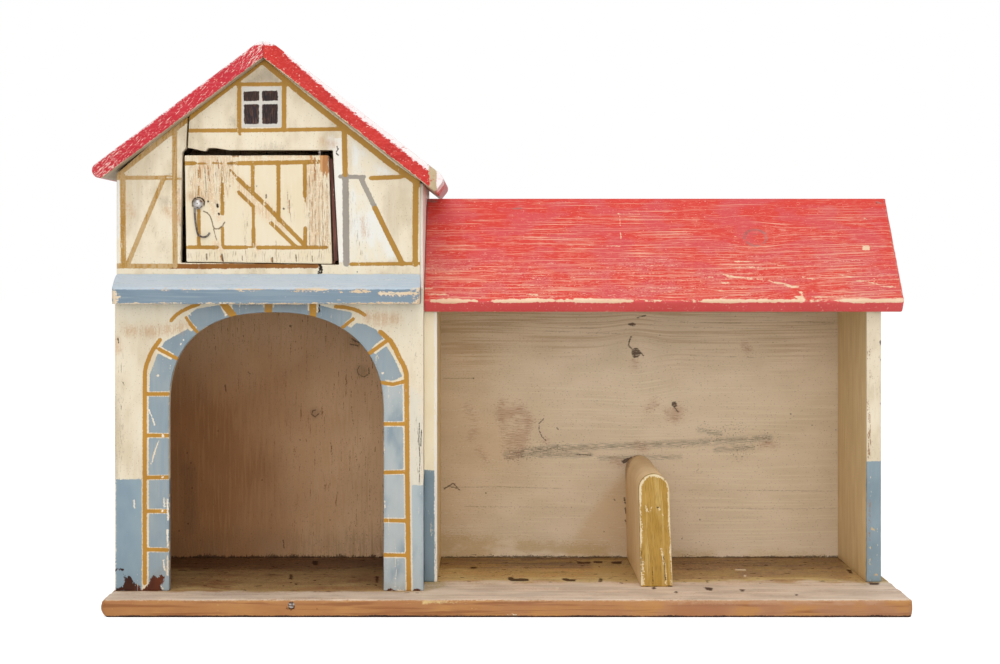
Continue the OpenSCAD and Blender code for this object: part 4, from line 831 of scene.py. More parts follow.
def lay(tree, coat, noises, colour, rough, height):
    """Lays a coat over a colour, a roughness and a height, and returns the new three."""
    value, edge = noises[coat.by], threshold(coat.worn, coat.by)
    if coat.worn_by:
        rubbed = add(tree, "ShaderNodeAttribute", attribute_name=coat.worn_by)["Fac"]
        loose = add(tree, "ShaderNodeMath", {0: noises["cloud"], 1: 8.0, 2: rubbed}, operation="MULTIPLY_ADD")
        extra = add(tree, "ShaderNodeMapRange", {0: loose[0], 1: 1.0, 2: 7.0, 4: coat.rub},
                    interpolation_type="SMOOTHSTEP")
        value = add(tree, "ShaderNodeMath", {0: value, 1: extra[0]}, operation="SUBTRACT")[0]
    keep = add(tree, "ShaderNodeMapRange", {0: value, 1: edge - coat.blend, 2: edge + coat.blend,
                                            4: coat.cover}, interpolation_type="SMOOTHSTEP")[0]
    if coat.mask:
        depth = add(tree, "ShaderNodeAttribute", attribute_name=coat.mask)["Fac"]
        for source, swing in (("speck", 2 * coat.ragged), ("fray", 6 * coat.ragged)):
            depth = add(tree, "ShaderNodeMath", {0: noises[source], 1: swing, 2: depth},
                        operation="MULTIPLY_ADD")[0]
        middle = 4 * coat.ragged
        within = add(tree, "ShaderNodeMapRange", {0: depth, 1: middle - coat.soft, 2: middle + coat.soft},
                     interpolation_type="SMOOTHSTEP")
        keep = add(tree, "ShaderNodeMath", {0: keep, 1: within[0]}, operation="MULTIPLY")[0]
    first, second, *third = (linear(code) for code in coat.colours)
    paint = add(tree, "ShaderNodeMix", {0: noises["patches"], 6: first, 7: second}, data_type="RGBA")[2]
    if third:
        paint = add(tree, "ShaderNodeMix", {0: noises["lines"], 6: paint, 7: third[0]}, data_type="RGBA")[2]
    return (add(tree, "ShaderNodeMix", {0: keep, 6: colour, 7: paint}, data_type="RGBA")[2],
            add(tree, "ShaderNodeMix", {0: keep, 2: rough, 3: coat.rough})[0],
            add(tree, "ShaderNodeMath", {0: keep, 1: coat.lift, 2: height}, operation="MULTIPLY_ADD")[0])


def coated(name, ground, coats, grain=(40.0, 2.4), relief=0.12, lean=None):
    """A material of bare or undercoated wood, in three colours, under coats of paint, wear and dirt."""
    material = bpy.data.materials.new(name)
    LAYERS_OF[material.name] = {layer for coat in coats for layer in (coat.mask, coat.worn_by) if layer}
    tree = cleared(material)
    place = add(tree, "ShaderNodeAttribute", attribute_name="grain")["Vector"]
    # The finest noise is about 1 mm long: real crackle and dust are finer, and a picture would lose them.
    rings = streaks(tree, place, *grain)
    fibre = streaks(tree, place, 7.0, 0.5, shift=4.0)
    cloud = streaks(tree, place, 30.0, 16.0, shift=9.0)
    speck = streaks(tree, place, 1.3, 0.9, 1.0, shift=2.0)
    fray = add(tree, "ShaderNodeMix", {0: 0.45, 2: rings, 3: fibre})[0]
    fray = add(tree, "ShaderNodeMix", {0: 0.22, 2: fray, 3: speck})[0]
    noises = {"rings": rings, "fibre": fibre, "cloud": cloud, "speck": speck, "fray": fray}
    if lean is not None:
        turned = add(tree, "ShaderNodeVectorRotate", {"Vector": place, "Angle": lean}, rotation_type="Z_AXIS")
        noises["strokes"] = streaks(tree, turned[0], 3.4, 0.42, 1.5, shift=5.0)
    steps = {"tone": (rings, 0.36, 0.64, "SMOOTHSTEP"), "stain": (cloud, 0.42, 0.68, "SMOOTHSTEP"),
             "patches": (cloud, 0.35, 0.65, "LINEAR"), "lines": (rings, 0.5, 0.66, "SMOOTHSTEP")}
    for label, (source, low, high, kind) in steps.items():
        noises[label] = add(tree, "ShaderNodeMapRange", {0: source, 1: low, 2: high},
                            interpolation_type=kind)[0]
    early, late, stain = (linear(code) for code in ground)
    colour = add(tree, "ShaderNodeMix", {0: noises["tone"], 6: early, 7: late}, data_type="RGBA")[2]
    colour = add(tree, "ShaderNodeMix", {0: noises["stain"], 6: colour, 7: stain}, data_type="RGBA")[2]
    rough = add(tree, "ShaderNodeMapRange", {0: fibre, 1: 0.3, 2: 0.7, 3: 0.47, 4: 0.65})[0]
    height = add(tree, "ShaderNodeMath", {0: fray, 1: relief}, operation="MULTIPLY")[0]
    for coat in coats:
        colour, rough, height = lay(tree, coat, noises, colour, rough, height)
    bump = add(tree, "ShaderNodeBump", {"Strength": 1.0, "Distance": MM, "Height": height})
    shader = add(tree, "ShaderNodeBsdfPrincipled",
                 {"Base Color": colour, "Roughness": rough, "Normal": bump[0], "Specular IOR Level": SHINE})
    add(tree, "ShaderNodeOutputMaterial", {"Surface": shader[0]})
    return material


class StableSizes(bpy.types.PropertyGroup):
    """Sizes that a user would change."""

    arris: FloatProperty(name="Arris wear", description="Radius worn on the boards' sharp edges",
                         default=0.8 * MM, min=0.1 * MM, max=3 * MM, unit="LENGTH")
    base_arris: FloatProperty(name="Base edge", description="Radius of the baseboard's upper edge",
                              default=2.5 * MM, min=0.5 * MM, max=4 * MM, unit="LENGTH")
    plinth: FloatProperty(name="Plinth height", description="Height of the blue band above the table",
                          default=88.5 * MM, min=40 * MM, max=140 * MM, unit="LENGTH")
    head: FloatProperty(name="Nail head", description="Radius of the wire nails' heads", default=2.2 * MM,
                        min=1.5 * MM, max=3 * MM, unit="LENGTH")
    shank: FloatProperty(name="Nail shank", description="Radius of the wire nails' shanks", default=0.9 * MM,
                         min=0.5 * MM, max=1.5 * MM, unit="LENGTH")
    wire: FloatProperty(name="Hook wire", description="Radius of the hook's wire", default=0.65 * MM,
                        min=0.4 * MM, max=1 * MM, unit="LENGTH")


class StableLight(bpy.types.PropertyGroup):
    """Strengths and colours of the studio."""

    key: FloatProperty(name="Key", description="Power of the large lamp in front on the left", default=8.6,
                       min=0, unit="POWER")
    fill: FloatProperty(name="Fill", description="Power of the soft lamp in front on the right", default=8.6,
                        min=0, unit="POWER")
    front: FloatProperty(name="Front", description="Power of the soft lamp behind the camera", default=11.8,
                         min=0, unit="POWER")
    sky: FloatProperty(name="Sky", description="Power of the soft lamp above the front", default=13.5, min=0,
                       unit="POWER")
    room: FloatProperty(name="Room", description="Strength of the light from all round", default=0.45, min=0)
    floor: FloatVectorProperty(name="Floor", description="Colour of the floor", subtype="COLOR", size=4,
                               default=linear("#F4F4F4"), min=0, max=1)


class StableColours(bpy.types.PropertyGroup):
    """Colours of the bare metal."""

    steel: FloatVectorProperty(name="Steel", description="Colour of the nails", subtype="COLOR", size=4,
                               default=linear("#8E8A86"), min=0, max=1)
    rust: FloatVectorProperty(name="Rust", description="Colour of the rust on nails and wire",
                              subtype="COLOR", size=4, default=linear("#5A3A26"), min=0, max=1)


def sizes():
    """The size settings, each in millimetres."""
    group = bpy.context.scene.toy_stable_sizes
    return {name: getattr(group, name) / MM for name in group.bl_rna.properties.keys()
            if isinstance(getattr(group, name), float)}


OCHRE_COAT = Coat("ochre", ("#BB8937", "#AF7F33"), ragged=0.22, lift=0.05)
BLUE_COAT = Coat("blue", ("#8397A4", "#90A2AC"), worn=0.02, ragged=0.3)
SMEAR_COAT = Coat("smear", ("#C99A68", "#B98A5C"), worn=0.3, blend=0.07, ragged=1.6, soft=3.0, cover=0.5,
                  rough=0.6)
SOIL_COAT = Coat("soil", ("#958876", "#877B6C"), worn=0.25, blend=0.09, ragged=1.6, soft=3.5, cover=0.34,
                 rough=0.65)
SPLIT_COAT = Coat("split", ("#7A5F42", "#5E4834"), by="fibre", worn=0.9, ragged=0.8, soft=1.5, cover=0.7,
                  lift=-0.15, rough=0.8)


def cream_front(name, *coats, dusty=0.14):
    """Cream oil enamel brushed on pine: satin, a little yellowed, with the grain just showing through."""
    enamel = Coat(colours=("#E5DBC5", "#DCCDB1", "#E2D6BF"), worn=0.004, worn_by="scuff", rub=0.16, lift=0.05)
    dust = Coat(colours=("#B0A088", "#A1947E"), by="cloud", worn=0.7, blend=0.09, cover=dusty)
    grit = Coat(colours=("#A08B6C", "#8C775A"), by="speck", worn=0.965, blend=0.02, cover=0.5, lift=-0.06)
    return coated(name, ("#C9A277", "#B98E60", "#D8B78F"), (enamel, dust, grit) + coats, relief=0.10)


class STABLE_OT_front_boards(bpy.types.Operator):
    """Builds the arch board and the gable board with their painted half-timbering"""

    bl_idname = "toy_stable.front_boards"
    bl_label = "Front boards"

    def execute(self, context):
        rim = sizes()["arris"]
        chalk = Coat("chalk", ("#E4EAEC", "#EAEEEE"), by="cloud", worn=0.3, blend=0.1, ragged=1.5, soft=3.0,
                     cover=0.66)
        crack = Coat("dark", ("#1C1612", "#2C221A"), worn=0.12, ragged=0.2, lift=-0.1, soft=0.25, rough=0.8)
        loop, span = outline("arch_board", 1)
        fine = ARCH["dark"] + ARCH["white"] + ARCH["brown"]
        arch = Board(loop, span, 1, rims=(rim, 0.6), cells=(1.1, 7.0), spacing=1.2, fine=fine)
        arch.mark(ARCH)
        x, _, z = arch.at.T
        arch.cover("blue", sizes()["plinth"] - z, arch.depth > 0.5)
        middle, half, spring, crown = -158.3, 75.0, 150.0, 204.0
        opening = (np.abs(x - middle) < half) & (z < crown)
        arch.cover("stain", 4.0, (arch.depth > 1.3) & opening)
        beside = (np.abs(loop[:, 0] - middle) < half + 0.5) & (loop[:, 1] < crown + 0.5)
        curve = loop[beside & (loop[:, 1] > spring)]
        curve = curve[np.argsort(np.arctan2(curve[:, 1] - spring, curve[:, 0] - middle))]
        arch.cover("stone", 3.4 + 0.5 * ripple(arch.at, 5, 2) - reach(arch.flat, curve),
                   arch.front & (z > spring))
        arch.lay_grain((2, 0, 1), seed=1)
        stone = Coat("stone", ("#85959F", "#98A3A8", "#8E9DA6"), worn=0.05, ragged=0.3, rough=0.5)
        white = Coat("white", ("#EDE6D8", "#E4D3BA"), worn=0.15, ragged=0.55, lift=-0.03)
        brown = Coat("brown", ("#35201A", "#6A3620"), worn=0.1, ragged=0.7, lift=-0.12, rough=0.75)
        stain = Coat("stain", ("#8C6546", "#A68260"), worn=0.01, ragged=0.4, rough=0.6)
        veil = chalk._replace(colours=("#C9CBC6", "#D2D3CE"), worn=0.15, blend=0.12, cover=0.4)
        material = cream_front("Cream enamel with painted stones", stone, BLUE_COAT, veil, OCHRE_COAT,
                               SMEAR_COAT, SOIL_COAT, SPLIT_COAT, white, brown, crack, stain, dusty=0.1)
        make_piece("arch_board", [arch], material)

        loop, span = outline("gable_board", 1)
        gable = Board(loop, span, 1, rims=(0.6 * rim, 0.6), cells=(1.1, 7.0), spacing=1.0, corner=0.4,
                      fine=GABLE["dark"] + GABLE["ochre"], seed=3)
        gable.mark(GABLE)
        faded_left_of = -222
        gable.cover("faded", np.minimum(gable.marks["ochre"], (faded_left_of - gable.at[:, 0]) / 2),
                    gable.depth < 1)
        gable.lay_grain((2, 0, 1), seed=2)
        grey = Coat("grey", ("#9D958B", "#908880"), worn=0.02, ragged=0.3)
        sill = Coat("sill", ("#8E5C24", "#7C4D1E"), worn=0.04, ragged=0.4)
        strip = Coat("strip", ("#ECEAE4", "#E6E1D6"), ragged=0.4, cover=0.9)
        sash = Coat("white", ("#C7C2B9", "#D0CCC4"), worn=0.02, ragged=0.25)
        pane = Coat("pane", ("#241F26", "#2C1D18", "#131318"), worn=0.01, ragged=0.25)
        glint = Coat("pane", ("#7A5440", "#5C3E30"), by="fibre", worn=0.7, ragged=0.3, blend=0.03, cover=0.6)
        ochre = OCHRE_COAT._replace(colours=("#AF853B", "#A47932"))
        faded = Coat("faded", ("#C6AC84", "#BCA076"), worn=0.35, blend=0.05, ragged=0.3, cover=0.75)
        # Painted shade with dirt in the gable's peak under the roof boards.
        peak = SOIL_COAT._replace(mask="peak", cover=0.55, worn=0.05, ragged=0.8)
        material = cream_front("Cream enamel with painted timbers", SOIL_COAT, peak, chalk, strip, grey, sill,
                               ochre, faded, sash, pane, glint, SMEAR_COAT, SPLIT_COAT, crack, dusty=0.24)
        make_piece("gable_board", [gable], material)
        return {"FINISHED"}


class STABLE_OT_ledge(bpy.types.Operator):
    """Builds the sloped blue ledge across the tower's front"""

    bl_idname = "toy_stable.ledge"
    bl_label = "Ledge"

    def execute(self, context):
        low, high = (Vector(c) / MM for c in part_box("ledge"))
        fall_at_front = 9.8
        left, right = low.x - 0.6, high.x + 0.8
        plan = [(left, high.y), (left, low.y), (right, low.y), (right, high.y)]
        board = Board(plan, (low.z, high.z), 2, rims=(0.8, 1.3), cells=(6.0, 1.4), step=1.2, corner=3.0,
                      spacing=1.6, seed=5)
        x, y, z = board.at.T
        share = (y - high.y) / (low.y - high.y)
        level = np.clip((z - low.z) / (high.z - low.z - 1.4), 0, 1)
        z -= fall_at_front * share * level
        board.lay_grain((0, 1, 2), seed=3)
        top = board.depth > 0.9 * board.thick
        arris = high.z - fall_at_front - 0.8
        chips = [(2.6, (-86.0, 215.6), (-74.0, 215.2), (-65.5, 215.9)),
                 (1.6, (-106.0, 216.9), (-93.5, 216.8)), (1.3, (-114.2, 211.2)), (1.2, (-112.5, 216.4)),
                 (1.8, (-144.0, 218.0), (-121.0, 217.8)), (1.5, (-64.0, 212.0), (-61.5, 217.4)),
                 (2.8, (-266.0, 216.5), (-265.0, 209.8)), (1.4, (-262.0, 214.0))]
        forward = y < low.y + 1.6
        board.mark({"bare": chips}, forward, board.at[:, [0, 2]])
        board.cover("bare", 0.5 + 0.7 * ripple(board.at, 6, 4) - (z - low.z), forward)
        board.cover("bare", -0.15 + 1.6 * ripple(board.at, 9, 7) - 0.9 * np.abs(z - arris), forward)
        board.cover("bare", 2.4 * ripple(board.at, 5, 9) + 0.2 - np.minimum(x - low.x, high.x - x) / 3,
                    forward)
        board.cover("lit", z - arris + 0.4, top)
        enamel = Coat(colours=("#758897", "#7E909E", "#8697A3"), worn=0.012, rough=0.42)
        lit = Coat("lit", ("#B4C3D0", "#BDC8D3", "#C6CED4"), soft=0.8)
        haze = Coat("lit", ("#9BACBB", "#A6B4C0"), worn=0.8, blend=0.04, cover=0.6)
        bare_wood = Coat("bare", ("#E0CFB6", "#D2B48E"), worn=0.15, ragged=1.0, lift=-0.05)
        # Blue-grey oil enamel on pine: satin, paler where the lamp grazes its top, with bare wood at chips.
        material = coated("Blue-grey enamel", ("#D8C6AC", "#CDB594", "#E0D2BC"),
                          (enamel, lit, haze, bare_wood), grain=(50.0, 1.4))
        make_piece("ledge", [board], material)
        return {"FINISHED"}


class STABLE_OT_tower_walls(bpy.types.Operator):
    """Builds the tower's side walls, back wall and loft floor"""

    bl_idname = "toy_stable.tower_walls"
    bl_label = "Tower walls"

    def execute(self, context):
        plinth = sizes()["plinth"]
        stain = Coat("stain", ("#936D4D", "#A88663", "#876344"), worn=0.01, ragged=0.6, rough=0.6)
        # bright: a near-white coat on the right wall's outer face, a painted highlight where that face
        # catches the light.
        bright = Coat("bright", ("#F7F3EB", "#F3EEE3"), worn=0.02)
        material = cream_front("Cream enamel outside, brown wash inside", bright, BLUE_COAT, stain)
        for node, inner in (("tower_left_wall", 1), ("tower_right_wall", 0)):
            loop, span = outline(node, 0, high=not inner)
            wall = Board(loop, span, 0, rims=(0.6, 0.6), cells=(4.0, 4.0), spacing=3.0, seed=7 + inner)
            within = (wall.depth > 1.5) if inner else (wall.depth < wall.thick - 1.5)
            wall.cover("stain", 4.0, within)
            wall.cover("blue", plinth + ripple(wall.at, 30, 2) - wall.at[:, 2], ~within)
            # Painted highlight over the right wall's outer face.
            wall.cover("bright", 3.0, ~within & (inner == 0))
            wall.lay_grain((2, 1, 0), seed=4 + inner)
            make_piece(node, [wall], material)

        loop, span = outline("tower_back_wall", 1)
        back = Board(loop, span, 1, rims=(0.6, 0.6), cells=(1.8, 4.0), spacing=3.0, fine=STALL_BACK["dark"],
                     pits=nail_pits("back_nails", 1, 1, span), seed=9)
        back.mark(STALL_BACK)
        x, _, z = back.at.T
        # Painted light: the pale layer grows towards the right and the top, where the lamps reach into the
        # stall.
        light = np.maximum((x + 212) / 130, (z - 120) / 90)
        back.cover("pale", 14 * light - 7 + 1.6 * ripple(back.at, 30, 4), back.front)
        # Painted shade where the wall meets the floor: the foot layer darkens the lowest 13 mm and the scuff
        # layer the lowest 30 mm or so.
        foot_darkening = 13.4 - z + 1.6 * ripple(back.at * (1, 1, 0), 7, 3) + 0.9 * ripple(back.at, 2.5, 4)
        back.cover("foot", foot_darkening, back.front)
        back.cover("scuff", (30 - z) / 3 + 2 * ripple(back.at, 14, 6), back.front)
        back.lay_grain((2, 0, 1), seed=6)
        wash = Coat(colours=("#AC7A4E", "#A37349", "#B18153"), worn=0.01, rough=0.6, lift=0.02)
        # pale: a lighter wash laid as painted light where the lamps reach in.
        pale = Coat("pale", ("#F2C89B", "#FBD3A6", "#EBC090"), worn=0.1, ragged=0.8, soft=8.0)
        flecks = Coat(colours=("#5E4128", "#6E4E32"), by="speck", worn=0.965, cover=0.5)
        spot = Coat("dark", ("#3E2818", "#54371F"), worn=0.15, ragged=0.4, soft=0.4, cover=0.75, lift=-0.1)
        # soil keeps the real scuff marks and, low down, lays painted shade; foot is painted shade along the
        # wall's foot.
        soil = SOIL_COAT._replace(mask="scuff", colours=("#6B4F36", "#7C6046"))
        foot = Coat("foot", ("#2E2016", "#3E2C1E"), worn=0.1, ragged=1.5, soft=0.8, cover=0.85)
        # Pine under a thin brown wash: matt and upright-grained, with painted shade at the foot, and painted
        # light that makes it paler towards the right and the top.
        material = coated("Brown-washed pine", ("#B08A62", "#A07A54", "#BA966C"),
                          (wash, pale, soil, flecks, spot, foot), relief=0.2, grain=(26.0, 2.0))
        make_piece("tower_back_wall", [back], material)

        loop, span = outline("loft_floor", 2)
        loft = Board(loop, span, 2, rims=(0.5, 0.5), cells=(6.0, 6.0), spacing=4.0, seed=11)
        loft.lay_grain((0, 1, 2), seed=8)
        # The brown wash darkened and dulled: painted shade that keeps the loft dim.
        material = coated("Loft floor in painted shade", ("#6E4E33", "#7F5C3D", "#5E422B"),
                          (Coat(colours=("#6A4A30", "#7A5A3C"), worn=0.2),))
        make_piece("loft_floor", [loft], material)
        return {"FINISHED"}


def red_roof(name, paint, worn, *coats, lean=None, grain=(55.0, 1.3)):
    """Red oil enamel on pine: worn along the grain, so that cream undercoat lines show through."""
    red = Coat(colours=paint, worn=worn, worn_by="worn", rub=0.08, lift=0.05)
    fleck = Coat(colours=("#F0CFC2", "#E8B8A6"), by="speck", worn=0.98, cover=0.9)
    under = Coat("under", ("#B8A893", "#A89880"), worn=0.05, ragged=0.4)
    # rim: paint worn pale along the boards' edges, whitened further as a painted highlight where they catch
    # the light.
    rim = Coat("rim", ("#F6EAEC", "#F8F0F0"), worn=0.06, blend=0.03, ragged=0.9, soft=0.7, cover=0.92)
    chip = Coat("chip", ("#F0D2B4", "#E9C4A2"), worn=0.05, lift=-0.05)
    bare = Coat("bare", ("#C4B090", "#AD9774"), worn=0.1, ragged=0.6, lift=-0.08)
    hole = Coat("hole", ("#4A2A20", "#3A2018"), worn=0.02, ragged=0.2, lift=-0.2)
    knot = Coat("knot", ("#C27A74", "#A85E58"), worn=0.08, soft=0.4)
    coats = (red, *coats, fleck, knot, rim, chip, under, bare, hole)
    return coated(name, ("#F0C8AC", "#E8AE94", "#EFC3A8"), coats, grain=grain, relief=0.16, lean=lean)


class STABLE_OT_tower_roof(bpy.types.Operator):
    """Builds the two red boards of the tower's roof"""

    bl_idname = "toy_stable.tower_roof"
    bl_label = "Tower roof"

    def execute(self, context):
        strokes = Coat(colours=("#F1D6CE", "#E6B4AC"), by="strokes", worn=0.77, blend=0.02, worn_by="kept",
                       rub=0.09, lift=-0.05)
        scratched = red_roof("Red enamel, scratched", ("#C22F3A", "#BA2A36", "#C8434C"), 0.02, strokes,
                             lean=math.radians(-47))
        bloom = Coat(colours=("#D9625C", "#D2524C"), by="speck", worn=0.8, blend=0.05, cover=0.5)
        chipped = red_roof("Red enamel, chipped", ("#C5322C", "#B62A26", "#CC3C36"), 0.015, bloom,
                           grain=(6.0, 2.0))
        peak_x, peak_z = -166.0, 375.4
        nose_x, cut_from, cut_to = 117.4, 112.8, 117.6  # at the right-hand eave, from the peak
        pair = (("tower_roof_left", -1, 36.8, 10.5, scratched), ("tower_roof_right", 1, 38.0, 12.0, chipped))
        for node, side, slope, thick, material in pair:
            loop, span = outline(node, 1)
            board = Board(loop, span, 1, rims=(0.9, 1.2), cells=(1.0, 5.0), step=2.6, spacing=1.6,
                          seed=13 + side)
            x, z = board.at[:, 0] - peak_x, board.at[:, 2] - peak_z
            pitch = math.radians(slope)
            out = z * math.cos(pitch) + side * x * math.sin(pitch)
            run = side * x * math.cos(pitch) - z * math.sin(pitch)
            board.cover("under", 0.5 - out, run > -5)
            front = board.depth < 2
            # The rim covers below lay worn pale paint that is partly a painted highlight: along the top
            # edges, over the right board's eave end and at the peak.
            if side > 0:
                wider = 2.4 * np.clip((run - 12) / 40, 0, 1)
                brim = (out - thick) + 1.0 + wider + 0.5 * ripple(board.at, 6, 2)
                board.cover("rim", np.minimum(brim, (5 - board.depth) / 1.5 + 2 * ripple(board.at, 9, 4)),
                            run > 8)
                nose = x - nose_x + 0.5 * ripple(board.at, 5, 7)
                board.cover("rim", np.minimum(nose, (60 - board.depth) / 10 + 4 * ripple(board.at, 12, 6)),
                            nose > -3)
                within = np.minimum(x - cut_from, cut_to - x)
                board.cover("bare", within + 0.8 * ripple(board.at, 3, 5), front)
                board.cover("chip", 0.5 - out + 0.9 * ripple(board.at, 4, 8), front & (run > 4))
            else:
                board.cover("rim", (out - thick) + 0.3 + 0.9 * ripple(board.at, 7, 3), (run > 5) & front)
                board.cover("chip", 0.3 - out + 0.7 * ripple(board.at, 4, 8), front & (run > 4))
            behind = (7 - board.depth) / 2 + 2 * ripple(board.at, 8, 3)
            tip = np.minimum(z - 8.6 + 0.6 * ripple(board.at, 4, 6), behind)
            board.cover("rim", tip, np.abs(x) < 14)
            board.cover("kept", np.minimum((run - 16) / 4, (112 - run) / 4) + 2 * ripple(board.at, 12, 9))
            board.lay_grain((0, 2, 1), seed=9 + side)
            make_piece(node, [board], material)
        return {"FINISHED"}


class STABLE_OT_shed_roof(bpy.types.Operator):
    """Builds the two red boards of the shed's roof"""

    bl_idname = "toy_stable.shed_roof"
    bl_label = "Shed roof"

    def execute(self, context):
        ringed = Coat(colours=("#F0C0A6", "#E8AC94"), by="rings", worn=0.77, blend=0.013, worn_by="kept",
                      rub=0.06, cover=0.8, lift=-0.05)
        haze = Coat(colours=("#DC7C84", "#D66E78"), by="cloud", worn=0.6, blend=0.07, cover=0.32)
        dashes = Coat(colours=("#EDB09C", "#E49A8A"), by="fibre", worn=0.78, blend=0.02, worn_by="kept",
                      rub=0.05, cover=0.5, lift=-0.03)
        fascia = Coat("fascia", ("#DE5C5C", "#D65454"), worn=0.06, ragged=0.2)
        material = red_roof("Red enamel on open grain", ("#D9463C", "#D23C34", "#DA524A"), 0.03, haze, dashes,
                            ringed, fascia, grain=(70.0, 0.8))
        pitch, ridge_y, ridge_z = math.radians(43.9), 33.0, 283.88
        knot_x, knot_run, knot_push = 176.5, 34.0, 6.5
        worn_end, overhang = 262.0, 1.8
        for node, side in (("shed_roof_front", -1), ("shed_roof_rear", 1)):
            loop, span = outline(node, 0)
            board = Board(loop, span, 0, rims=(0.9, 1.6), cells=(3.0, 1.2), step=2.1, corner=1.2, spacing=2.0,
                          seed=17 + side)
            x, y, z = board.at.T
            x += overhang * np.clip((x - worn_end) / 12, 0, 1)
            back, up = side * (y - ridge_y), z - ridge_z
            run = back * math.cos(pitch) - up * math.sin(pitch)
            out = up * math.cos(pitch) + back * math.sin(pitch)
            top = out > -1.5
            if side < 0:
                board.mark(SHED_ROOF, top, np.column_stack([x, run]))
                lower = (run - 66) / 9 + 2.5 * ripple(board.at, 50, 3)
                board.cover("worn", np.clip(lower, -9, 1.0), top)
                ragged = ripple(board.at * (0.35, 1, 1), 9, 4) + 0.6 * ripple(board.at, 3, 5)
                board.cover("chip", 1.3 + 2.2 * ragged - np.hypot(run.max() - run, out))
                board.cover("chip", 0.7 + 1.2 * ragged - np.hypot(run.max() - run, out + 12))
                board.cover("fascia", np.minimum(run - run.max() + 2.0, -out - 0.5))
                patch = 6 * (1 - np.hypot((x + 25) / 60, (run - 12) / 26))
                sound = np.maximum.reduce([(30 - run) / 8, -out - 1, patch])
                board.cover("kept", sound + 2 * ripple(board.at, 40, 8))
            board.cover("under", -out - 11.0, out < -5)
            across = run + 5.5 * np.clip((x - 90) / 180, 0, 1) ** 2 * (run / 60)
            across += ripple(np.column_stack([x / 6, run / 2, out]), 18, 6)
            if side < 0:
                off, rise = x - knot_x, run - knot_run
                across -= np.sign(rise) * knot_push * np.exp(-(off / 16) ** 2 - np.abs(rise) / 16)
            board.grain = np.column_stack([x, across + 60 * side, out])
            make_piece(node, [board], material)
        return {"FINISHED"}


